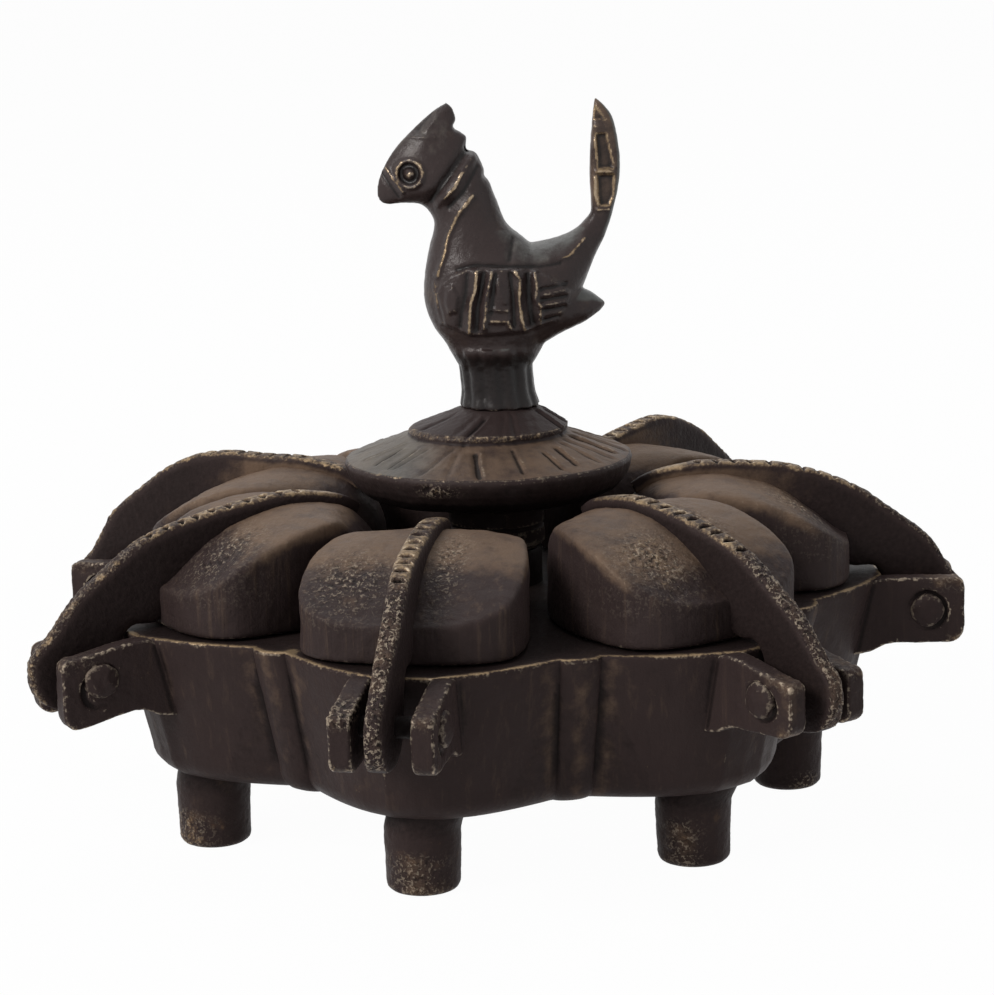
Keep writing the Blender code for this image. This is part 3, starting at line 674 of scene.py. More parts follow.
numbered(wall, wear=outerRim * 0.72 + spot * 0.9, brown=brown, sunk=shadeAndDirt * (1 - spot))
ridged(wall, 5, 0.12)
upright = softStep(15.5, 18.0, height) * (1 - softStep(60.6, 61.6, fromAxis) * (height < 34))
flatDeck = (height > levels["deck"] - 0.02) & (fromEdge > 1.5)
numbered(wall, ridge=getNumbers(wall, "ridge") * upright * ~flatDeck)
finished(wall, "box", "dark_bronze", "wall", "body", angle=38)
print("casting made", len(wall.data.polygons))


# hinge ears and rivets
ear = {
    # the web's edges as x and the drop from the ear's lower and upper edge
    "lowWeb": ((55.5, 1.9), (58.2, 1.7), (60.1, 1.3), (61.3, 0.7), (62.4, 0.2), (63.6, 0)),
    "topWeb": ((63.0, 0), (61.2, 0.15), (59.5, 0.6), (55.5, 1.0)),
    "height": 10.6, "lowRound": 2.6, "topRound": 1.3, "middle": 67.0, "edge": 0.3, "voxel": 0.25,
    # the dent round the rivet's head: radii, depth and heading of its deepest side
    "recess": (2.62, 3.15), "recessDepth": 0.4, "recessTurn": 0.6,
    # how far the top and the bottom of each pair sag at the outer end
    "sag": [(2.1, 0.3), (2.0, -0.2), (0.2, 0.2), (0.4, 0.3), (0.5, 0.3), (0.6, 0.6), (1.6, 1.9)],
    # radius, and height above the ear, of the rivet's domed head and its neck
    "rivet": ((0, 1.15), (0.9, 1.1), (1.6, 0.95), (2.15, 0.72), (2.5, 0.5), (2.62, 0.25), (2.62, -0.35),
              (1.5, -0.4)),
}


def makeEar():
    low, top, end = levels["deck"] - ear["height"], levels["deck"], hinge["end"]
    outline = [(x, low - drop) for x, drop in ear["lowWeb"]]
    for z, curve, angles in ((low + ear["lowRound"], ear["lowRound"], turns(-90, 1, 15)),
                             (top - ear["topRound"], ear["topRound"], turns(0, 91, 30))):
        outline += [(end - curve + curve * math.cos(t), z + curve * math.sin(t)) for t in angles]
    outline += [(x, top - drop) for x, drop in ear["topWeb"]]
    outline = dense(outline + [outline[0]], 1.0)[:-1]
    rings = []
    middleX, middleZ = ear["middle"], (low + top) / 2
    for share, inset in ((0, ear["edge"]), (0.1, 0), (0.5, 0), (0.9, 0), (1, ear["edge"])):
        y = hinge["inner"] + (hinge["outer"] - hinge["inner"]) * share
        rings.append([(x - math.copysign(inset, x - middleX), y, z - math.copysign(inset, z - middleZ))
                      for x, z in outline])
    thing = remeshed(ringLoft("hingeEar", rings), ear["voxel"], 2)
    places = getPoints(thing)
    fromPinX, fromPinZ = places[:, 0] - hinge["rho"], places[:, 2] - levels["pin"]
    fromPin = np.hypot(fromPinX, fromPinZ)
    inner, outer = ear["recess"]
    ring = band(inner - 0.5, inner, outer, outer + 0.35, fromPin)
    ring *= 0.55 + 0.45 * np.cos(np.arctan2(fromPinZ, fromPinX) - ear["recessTurn"])
    ring *= places[:, 1] > hinge["outer"] - 0.35
    places[:, 1] -= ring * ear["recessDepth"]
    setPoints(thing, places)
    # painted shade in the dent round the rivet's head
    numbered(thing, sunk=ring * 0.8)
    return thing


def makeRivet():
    # two hammered heads on a shank, along the sideways axis
    half = [(radius, hinge["outer"] + rise) for radius, rise in ear["rivet"]]
    profile = half + [(radius, -z) for radius, z in reversed(half)]
    thing = spun("rivet", dense(profile, 0.3), 56)
    setPoints(thing, getPoints(thing)[:, [0, 2, 1]])
    return turnedOver(shifted(thing, x=hinge["rho"], z=levels["pin"]))


earMaster = makeEar()
rivetMaster = makeRivet()
for lobe in range(lobeCount):
    for side, mirror in (("right", False), ("left", True)):
        piece = toLobe(copied(earMaster, f"hingeEar_{lobe + 1}_{side}"), lobe, mirror)
        rho, tau, height = inLobe(piece, lobe)
        sagTop, sagLow = ear["sag"][lobe]
        share = np.clip((height - levels["deck"] + ear["height"]) / ear["height"], 0, 1)
        shifted(piece, z=-(sagLow + (sagTop - sagLow) * share) * softStep(61.5, 76, rho) * 1.15)
        free = softStep(61.5, 63.5, rho)
        roughened(piece, 0.26, 2.2, free)
        roughened(piece, 0.16, 0.8, free)
        cornerTop = bell(height, 34.8, 1.3) * softStep(67, 72, rho)
        cornerLow = bell(height, 25.4, 1.0) * softStep(71, 73.5, rho)
        broken = cornerTop * (1.0 if (lobe, side) == (0, "left") else 0.25)
        roughened(piece, 1.5, 1.1, broken)
        # painted shade with some dirt where the web meets the sloping wall, and painted shade on the inner
        # face
        besideWall = bell(rho, 60.7 - 0.23 * (levels["deck"] - height), 0.5) * 0.7
        inside = (np.abs(tau) < hinge["inner"] + 0.4) * 0.35
        numbered(piece, pits=broken + cornerLow * 0.3, brown=(cornerTop + cornerLow) * 0.35,
                 wear=cornerLow * 0.35 + cornerTop * 0.15,
                 sunk=np.maximum(getNumbers(piece, "sunk"), np.maximum(besideWall, inside)))
        ridged(piece, 8, 0.085)
        finished(piece, "box", "dark_bronze", "ear", "body")
    piece = toLobe(copied(rivetMaster, f"rivet_{lobe + 1}"), lobe)
    roughened(piece, 0.6, 1.9, depth=1)
    roughened(piece, 0.2, 0.9, depth=2)
    _, tau, _ = inLobe(piece, lobe)
    # painted shade on the rivet between the ears
    numbered(piece, sunk=(np.abs(tau) < 6.5) * 0.9)
    ridged(piece, 4, 0.08)
    finished(piece, "box", "rivet_metal", "rivet", f"hinge_pin_{lobe + 1}")
removed(earMaster, rivetMaster)
print("ears and rivets made")


# peg feet
foot = {
    "circle": 48.5, "radius": 5.8, "taper": 0.3, "round": 1.3, "top": 13.4,
    # how far towards -X each one leans at the floor
    "aside": (0.9, 1.3, 1.2, 0, 0, 0.3, 0.6),
    # for each foot: heading of its rough patch, its half width in radians, its top, how rusty it is
    "patches": [(-1.75, 0.75, 7.5, 0.1), (-1.95, 0.42, 8.6, 0.1), (-1.0, 0.5, 4.0, 0.0), (0.6, 0.6, 5.0, 0.3),
                (1.6, 0.5, 6.0, 0.2), (2.7, 0.6, 5.0, 0.4), (-2.35, 0.8, 7.0, 0.9)],
}
radius, slim, curve = foot["radius"], foot["radius"] - foot["taper"], foot["round"]
profile = [(0, foot["top"]), (radius, foot["top"]), (radius, 11.0), (slim, curve + 0.6)]
profile += [(slim - curve * (1 - math.cos(t)), curve * (1 - math.sin(t))) for t in turns(0, 91, 15)]
footMaster = shifted(spun("foot", dense(profile + [(0, 0)], 0.32), 104), x=foot["circle"])
for lobe in range(lobeCount):
    piece = toLobe(copied(footMaster, f"pegFoot_{lobe + 1}"), lobe)
    x, y, height = getPoints(piece).T
    aside = foot["aside"][lobe] * (1 - softStep(9, 13, height))
    shifted(piece, x=-aside)
    side = band(0.0, 0.6, 11.0, 11.6, height)
    roughened(piece, 0.35, 2.6, side)
    heading, width, high, rusty = foot["patches"][lobe]
    turn = np.arctan2(y - axisY - foot["circle"] * math.sin(headings[lobe]),
                      x - aside - foot["circle"] * math.cos(headings[lobe])) - heading
    patch = bell(np.angle(np.exp(1j * turn)), 0, width) * (1 - softStep(high - 2.5, high, height))
    roughened(piece, 0.16, 0.7, side, depth=4)
    roughened(piece, 0.6, 0.9, patch * side, depth=4)
    # painted shadow: each foot is darkened towards its top, under the body
    numbered(piece, pits=patch * 0.65, wear=patch * (0.15 + 0.35 * rusty), brown=patch * 0.35,
             sunk=softStep(6.5, 11.5, height) * 0.6)
    ridged(piece, 5, 0.12)
    finished(piece, "box", "dark_bronze", "foot", f"foot_{lobe + 1}")
removed(footMaster)
print("feet made")


def spine(rho):
    run = np.clip((rho - lid["peak"]) / (lid["end"] - lid["peak"]), 0, 1)
    return lid["top"] - (lid["top"] - lid["endBase"]) * run ** lid["fall"]


def crest(rho):
    # height of a dome's middle line, which falls at the nose as well
    nose = max(0.0, min(1.0, (lid["noseEnd"] - rho) / (lid["noseEnd"] - lid["nose"])))
    return spine(rho) - lid["noseFall"] * nose * nose


def shoulderHeight(rho, tau):
    # where the upright skirt ends: low at the nose, nearly up to the crest along the sides
    side = abs(tau) / lid["half"]
    nose = lid["skirt"] + lid["shoulderRise"] * side
    outer = crest(rho) - lid["crown"] * side * side
    return nose + (outer - nose) * softStep(23.0, 34.0, rho)


def domeRings(inset, rimZ, angles):
    # inset is the wall for the inner side, which follows the outer one a wall lower
    skin = [(rho, tau, shoulderHeight(*outer))
            for (rho, tau), outer in zip(leafOutline(inset, 120), leafOutline(0.0, 120))]
    rings = [[(rho, tau, rimZ + (shoulder - inset - rimZ) * share) for rho, tau, shoulder in skin]
             for share in (0.0, 0.35, 0.7)]
    for angle in angles:
        inward = math.cos(math.radians(angle)) ** lid["sectionSquare"]
        upward = math.sin(math.radians(angle)) ** lid["sectionSquare"]
        ring = []
        for rho, tau, shoulder in skin:
            ridge = max(lid["peak"], min(lid["ridgeEnd"], rho))
            near = ridge + (rho - ridge) * inward
            ring.append((near, tau * inward, shoulder + max(0.0, crest(near) - shoulder) * upward - inset))
        rings.append(ring)
    return rings


shellRings = domeRings(lid["wall"], levels["lidRim"], range(0, 91, 10))[::-1] \
    + domeRings(0.0, levels["lidRim"], range(0, 91, 6))
lidMaster = remeshed(ringLoft("lidShell", shellRings), lid["voxel"], 12)
print("lid shell", len(lidMaster.data.vertices))


# crest rib of a lid, with its hinge tongue and tail
rib = {
    # top x, top z, low x, low z and half width, from the nose to the tail
    "pairs": [
        (22.6, 50.6, 23.6, 48.6, 0.55), (25.4, 52.2, 25.8, 48.9, 1.0), (29.8, 53.3, 30.0, 48.8, 1.5),
        (35.9, 53.9, 36.0, 48.2, 1.8), (44.8, 52.8, 44.0, 45.0, 1.87), (49.8, 51.5, 48.9, 42.5, 1.86),
        (54.5, 49.9, 53.2, 39.0, 1.82), (59.6, 47.5, 57.4, 36.3, 1.77), (64.5, 44.0, 61.5, 36.1, 1.7),
        (68.7, 40.9, 63.2, 33.6, 1.62), (72.1, 37.9, 63.0, 30.6, 1.56), (74.6, 35.8, 63.6, 27.7, 1.52),
        (77.1, 33.8, 65.5, 25.3, 1.48), (78.1, 31.6, 68.0, 24.25, 1.45), (77.8, 28.1, 71.0, 24.3, 1.42),
        (76.3, 25.9, 74.2, 24.9, 1.36),
    ],
    "square": 0.42, "halfWidth": 1.85, "voxel": 0.22,
    # the notches across its top
    "count": 10, "first": 11.5, "spacing": 2.8, "depth": 0.85, "width": 0.50, "bow": 0.3,
    # how far each rib stands above the pattern, and how much shorter its tail is
    "higher": (0.2, 1.0, 1.2, 3.3, 1.5, 3.0, 1.6), "shorter": (0.5, 0.9, 2.1, 0.8, 0.8, 0.6, 0.3),
    "risesFrom": (44, 44, 34, 32, 44, 36, 44),
    # how pitted the outer part of each rib is, the rest being rubbed golden
    "rough": (1.0, 0.9, 0.7, 0.5, 0.6, 0.5, 0.55),
}


def makeRib():
    corners = [superRound(2 * math.pi * (k + 0.5) / 32, rib["square"]) for k in range(32)]
    rings = []
    for topX, topZ, lowX, lowZ, half in smoothRows(rib["pairs"], 4):
        top, low = Vector((topX, 0, topZ)), Vector((lowX, 0, lowZ))
        middle, arm = (top + low) / 2, (top - low) / 2
        rings.append([middle + arm * c + Vector((0, half * s, 0)) for c, s in corners])
    bar = ringLoft("crestRib", rings)
    # the lid's hollow stays free of it
    hollow = domeRings(lid["wall"] - 1.2, levels["lidRim"] - 1.0, (0, 15, 30, 45, 60, 72, 80, 87))
    cut(bar, remeshed(ringLoft("lidHollow", hollow), lid["voxel"], 2))
    return remeshed(bar, rib["voxel"], 1)


ribMaster = makeRib()
places, normals = getPoints(ribMaster), getNormals(ribMaster)
below, along = fromLine(places[:, [0, 2]], [row[:2] for row in smoothRows(rib["pairs"], 8)])
onTop = 1 - softStep(0.25, 1.0, below)
across = np.abs(places[:, 1]) / rib["halfWidth"]
chance = np.random.RandomState(11)
notched = np.zeros(len(places))
for k in range(rib["count"]):
    at = rib["first"] + rib["spacing"] * k + chance.uniform(-0.2, 0.2)
    reach = chance.uniform(0.66, 0.86)
    lens = np.clip(1 - (across / reach) ** 2.4, 0, 1)
    gap = (along - at - rib["bow"] * across ** 2) / (rib["width"] * np.maximum(lens, 0.12))
    notched = np.maximum(notched, np.exp(-np.abs(gap) ** 3) * lens ** 0.5)
setPoints(ribMaster, places - normals * (rib["depth"] * notched * onTop)[:, None])
ribUpper = onTop * band(2.0, 5.0, 33.0, 41.0, along)
ribLower = onTop * softStep(33.0, 41.0, along)
border = bell(across, 0.90, 0.11) * softStep(30, 36, along) * onTop * np.where(places[:, 1] > 0, 0.75, 1.0)
flank = (1 - onTop) * softStep(0.4, 1.6, below)
# painted shade in the notches across the top and on the flanks
numbered(ribMaster, wear=ribUpper * 0.55 * (1 - notched) + border * 0.42,
         brown=ribUpper * 0.5 + ribLower * 0.30, pits=ribLower * 0.95 + ribUpper * 0.22,
         sunk=np.maximum(notched * onTop * 1.2, flank * 0.5 + ribLower * 0.05))
print("crest rib", len(ribMaster.data.vertices))

for lobe in range(lobeCount):
    piece = toLobe(copied(lidMaster, f"lidDome_{lobe + 1}"), lobe)
    rho, tau, height = inLobe(piece, lobe)
    free = softStep(36.0, 36.8, height)
    # painted light: the top of each dome, out to the listed distance, is painted lighter brown and its sides
    # a little darker
    paintedTopLightTo = lid["paintedTopLightTo"][lobe]
    upper = softStep(-4.6, -1.4, height - spine(rho)) * (1 - 0.85 * softStep(paintedTopLightTo - 8, paintedTopLightTo, rho))
    side = -tau if lobe < 4 else tau  # the side with the wide rough patch
    patch = np.maximum(bell(rho, 48.5, 5.5) * bell(side, 9.0, 5.5),
                       bell(rho, 44.0, 7.5) * bell(side, -5.2, 2.6))
    patch *= softStep(39.5, 41.5, height)
    roughened(piece, 0.8, 7.0, free, seed=lobe)
    roughened(piece, 0.14, 1.3, free, depth=4, seed=lobe)
    roughened(piece, 0.75, 1.0, patch * free, seed=lobe)
    # painted shade at the foot of the skirt, by the deck
    numbered(piece, pits=patch * 0.85, brown=upper * 0.95 - 0.12,
             wear=patch * lid["golden"][lobe] * (0.3 + 0.7 * upper),
             sunk=np.maximum((1 - softStep(35.8, 37.5, height)) * 0.6, patch * 0.25 * (1 - upper)))
    ridged(piece, 6, 0.14)
    if lobe == 0:
        x = getPoints(piece)[:, 0]
        shifted(piece, x=x * (lid["narrower"] - 1) + lid["lean"], z=-lid["lower"] * softStep(38, 50, height))
    finished(piece, f"lid_{lobe + 1}", "worn_bronze", "lid", f"lid_{lobe + 1}")
    piece = toLobe(copied(ribMaster, f"crestRib_{lobe + 1}"), lobe)
    roughened(piece, 0.16, 1.1)
    roughened(piece, 0.55, 0.9, ribLower + 0.12 * ribUpper, depth=4)
    ridged(piece, 5, 0.10)
    rho, _, height = inLobe(piece, lobe)
    rough = rib["rough"][lobe]
    numbered(piece, pits=getNumbers(piece, "pits") * rough,
             wear=getNumbers(piece, "wear") + ribLower * (1 - rough) * 0.9)
    # painted light: on the back lids the flanks get less painted shade and are painted lighter brown
    if 2 <= lobe <= 5:
        lighterFlank = flank * (1 - softStep(36, 58, rho))
        numbered(piece, brown=getNumbers(piece, "brown") + lighterFlank * 0.8,
                 sunk=getNumbers(piece, "sunk") - lighterFlank * 0.5)
    risesFrom = rib["risesFrom"][lobe]
    rise = band(risesFrom, risesFrom + 20, 74, 79, rho) * (1 - softStep(1.2, 2.8, below))
    rise *= rib["higher"][lobe] * softStep(34, 40, height)
    inward = rib["shorter"][lobe] * softStep(70, 78, rho)
    shifted(piece, -math.cos(headings[lobe]) * inward, -math.sin(headings[lobe]) * inward, rise)
    if lobe == 0:
        shifted(piece, x=lid["lean"] * (1 - 0.65 * softStep(46, 66, rho)),
                z=-lid["lower"] * (1 - softStep(44, 60, rho)) * softStep(38, 50, height + rise))
    finished(piece, f"lid_{lobe + 1}", "worn_bronze", "rib", f"lid_{lobe + 1}")
removed(lidMaster, ribMaster)
print("lids made")


# collar and tiered disc
disc = {
    "collar": [(3.0, 41.35), (6.9, 41.3), (7.6, 42.0), (7.6, 44.4), (7.35, 44.6), (7.35, 45.1), (7.6, 45.3),
               (7.6, 49.2), (6.9, 49.9), (3.0, 49.85)],
    "profile": [(3.0, 50.25), (18.8, 50.2), (20.0, 50.7), (21.3, 51.9), (22.2, 53.2), (22.65, 54.3),
                (22.88, 55.3), (22.7, 55.85), (22.0, 56.15), (19.6, 57.0), (16.0, 58.3), (12.75, 59.45),
                (12.45, 59.75), (12.6, 60.3), (12.35, 60.85), (11.6, 61.15), (9.0, 62.35), (6.6, 63.55),
                (5.8, 63.8), (3.0, 63.8)],
    # start and end radius, number and depth of the cuts on the lower and the upper tier
    "cuts": ((13.0, 22.2, 31, 0.55), (6.4, 12.9, 19, 0.385)), "cutWidth": 0.5,
    # how far the collar and the disc's top stand off the axis
    "collarLean": 1.1, "lean": 1.9,
}
piece = spun("screwCollar", dense(disc["collar"] + disc["collar"][:1], 0.45), 96)
x, y, _ = getPoints(piece).T
shifted(piece, x=disc["collarLean"] * softStep(4.0, 6.5, np.hypot(x, y)), y=axisY)
roughened(piece, 0.35, 1.8)
ridged(piece, 8, 0.12)
finished(piece, "collar", "dark_bronze", "wall", "lift_collar", angle=40)

piece = spun("tieredDisc", dense(disc["profile"] + disc["profile"][:1], 0.34), 360)
normals = getNormals(piece)
x, y, _ = getPoints(piece).T
radius, turn = np.hypot(x, y), np.arctan2(y, x)
chance = np.random.RandomState(5)
offset, cutMark = np.zeros(len(x)), np.zeros(len(x))
deepest = disc["cuts"][0][3]
for low, high, count, depth in disc["cuts"]:
    for k in range(count):
        at = 2 * math.pi * (k + chance.uniform(-0.42, 0.42)) / count
        depthHere = depth * chance.uniform(0.1, 1.1)
        start = low + chance.uniform(0, 0.3) * (high - low)
        stop = high - chance.uniform(0, 0.2) * (high - low)
        skew = chance.uniform(-0.12, 0.12) * (radius - start) / 8.0
        across = ((turn - at - skew + math.pi) % (2 * math.pi) - math.pi) * radius
        width = disc["cutWidth"] * chance.uniform(0.6, 1.2)
        here = band(start - 0.8, start + 0.5, stop - 0.5, stop + 0.9, radius) * (normals[:, 2] > 0.2)
        groove = bell(across, 0, width) * here
        offset += depthHere * (0.45 * bell(across, 1.6 * width, width) * here - groove)
        cutMark = np.maximum(cutMark, groove * depthHere / deepest)
shifted(piece, *(normals * offset[:, None]).T)
x, y, height = getPoints(piece).T
scratched = bell(x, -3.4, 2.6) * bell(height, 54.2, 0.8) * (y < -20)
edgeLine = bell(height, 55.95, 0.2) * (radius > 21.5)
tierEdge = bell(radius, 12.5, 0.35) * (height > 59.8)
# rim and tier edges rubbed bright more on the front and left: wear with painted highlight
faces = softStep(-1.0, 0.6, -normals[:, 1]) * (1 - 0.5 * softStep(0, 20, x))
slope = softStep(0.6, 0.9, normals[:, 2]) * (height < 60)
underside = 1 - 0.5 * softStep(51.0, 52.5, height) - 0.5 * softStep(54.6, 55.6, height)
# painted light: upward slopes lighter brown and the left slopes a painted sheen; painted shade under the disc
# and in the cuts
numbered(piece, wear=(edgeLine * 0.42 + tierEdge * 0.4) * faces + scratched * 0.4, brown=slope * 0.85 - 0.2,
         sheen=softStep(2, -12, x) * slope * 0.8, pits=scratched * 1.2 + tierEdge * 0.2,
         sunk=np.maximum(cutMark * 0.75, underside * 0.95))
shifted(piece, x=disc["lean"] * softStep(59.6, 63.6, height) * (radius > 4), y=axisY)
roughened(piece, 0.55, 5.0)
roughened(piece, 0.16, 1.1, depth=4)
roughened(piece, 1.4, 1.2, scratched)
ridged(piece, 5, 0.13)
finished(piece, "finial", "worn_bronze", "disc", "lock_disc")
print("disc made")


# bird, modelled facing -X and turned at the end
bird = {
    "heading": math.radians(12.2), "bottom": 63.9, "voxel": 0.27,
    # front x, front z, back x, back z, half width, pinch of the front, squareness
    "torso": [
        (-4.4, 70.6, 7.5, 70.4, 5.7, 0, 1.0), (-6.2, 74.0, 9.2, 73.4, 6.2, 0, 1.0),
        (-8.2, 77.0, 10.6, 76.3, 6.8, 0, 0.95), (-9.4, 80.9, 11.4, 80.4, 7.1, 0, 0.92),
        (-9.15, 85.5, 10.8, 86.0, 6.8, 0, 0.92), (-8.3, 89.6, 7.2, 89.8, 5.5, 0, 0.95),
        (-7.5, 92.6, 3.9, 92.7, 4.7, 0.1, 0.95), (-7.9, 94.4, 2.6, 95.8, 4.4, 0.25, 0.95),
        (-9.4, 96.0, 1.6, 98.6, 4.35, 0.45, 0.92), (-12.2, 96.35, 0.6, 101.2, 4.3, 0.6, 0.9),
        (-15.0, 96.2, -0.4, 103.5, 4.1, 0.7, 0.9), (-16.25, 97.4, -1.5, 105.0, 3.75, 0.7, 0.9),
        (-15.8, 100.6, -2.4, 106.4, 3.2, 0.6, 0.9), (-13.5, 104.6, -3.3, 107.9, 2.5, 0.5, 0.9),
        (-10.2, 108.0, -3.6, 109.3, 1.7, 0.4, 0.9), (-7.4, 110.4, -4.1, 110.9, 1.0, 0.3, 0.9),
    ],
    "torsoTip": (-5.0, 0, 111.9),
    "tail": [
        (2.0, 89.3, 2.0, 73.7, 6.4, 0, 0.95), (8.4, 89.7, 9.5, 74.2, 6.0, 0, 0.95),
        (12.2, 90.5, 13.2, 77.2, 4.9, 0, 0.95), (14.6, 91.6, 15.5, 82.2, 3.5, 0, 0.9),
        (16.1, 92.9, 17.6, 87.2, 2.4, 0, 0.8), (17.1, 94.2, 19.2, 90.4, 1.8, 0, 0.7),
        (17.15, 96.2, 20.5, 94.0, 1.65, 0, 0.6), (17.05, 99.0, 21.5, 98.2, 1.6, 0, 0.55),
        (17.1, 102.2, 21.85, 102.0, 1.55, 0, 0.55), (17.35, 106.0, 21.5, 105.7, 1.45, 0, 0.55),
        (17.7, 109.4, 20.7, 109.0, 1.2, 0, 0.6), (17.95, 111.2, 19.3, 111.0, 0.8, 0, 0.7),
    ],
    "tailTip": (18.1, 0, 112.05),
    "vent": [
        (6.2, 84.2, 6.2, 71.8, 5.6, 0, 1.0), (11.9, 83.2, 11.7, 75.0, 4.7, 0, 1.0),
        (16.3, 81.9, 15.8, 76.9, 3.0, 0, 1.0), (18.5, 80.4, 18.2, 78.5, 1.3, 0, 1.0),
    ],
    "ventTip": (19.2, 0, 79.7),
}


def sectionLoft(name):
    rings = []
    for frontX, frontZ, backX, backZ, half, pinch, square in smoothRows(bird[name], 5):
        front, back = Vector((frontX, 0, frontZ)), Vector((backX, 0, backZ))
        middle, arm = (front + back) / 2, (front - back) / 2
        ring = []
        for k in range(56):
            c, s = superRound(2 * math.pi * k / 56, square)
            ring.append(middle + arm * c + Vector((0, half * s * (1 - pinch * max(0.0, c) ** 1.4), 0)))
        rings.append(ring)
    return ringLoft(name, rings, bird[name + "Tip"])


def makeStem():
    # fluted, wider at both ends, leaning back to the axis as it rises
    rings = []
    for k in range(17):
        z, lean = bird["bottom"] + 0.6 * k, 2.1 - 0.75 * k / 16
        radius = 5.35 + 0.55 * bell(k, 0, 2.4) + 1.1 * bell(k, 16, 3.2)
        ring = []
        for step in range(144):
            t = 2 * math.pi * step / 144
            fluted = radius + 0.5 * abs(math.sin(t * 6.5 + 0.3)) ** 0.7
            ring.append((lean + fluted * math.cos(t), fluted * math.sin(t), z))
        rings.append(ring)
    return ringLoft("stem", rings)


birdPiece = joined("bird", [sectionLoft("torso"), sectionLoft("tail"), sectionLoft("vent"), makeStem()])
remeshed(birdPiece, bird["voxel"], 3)
print("bird body", len(birdPiece.data.vertices))

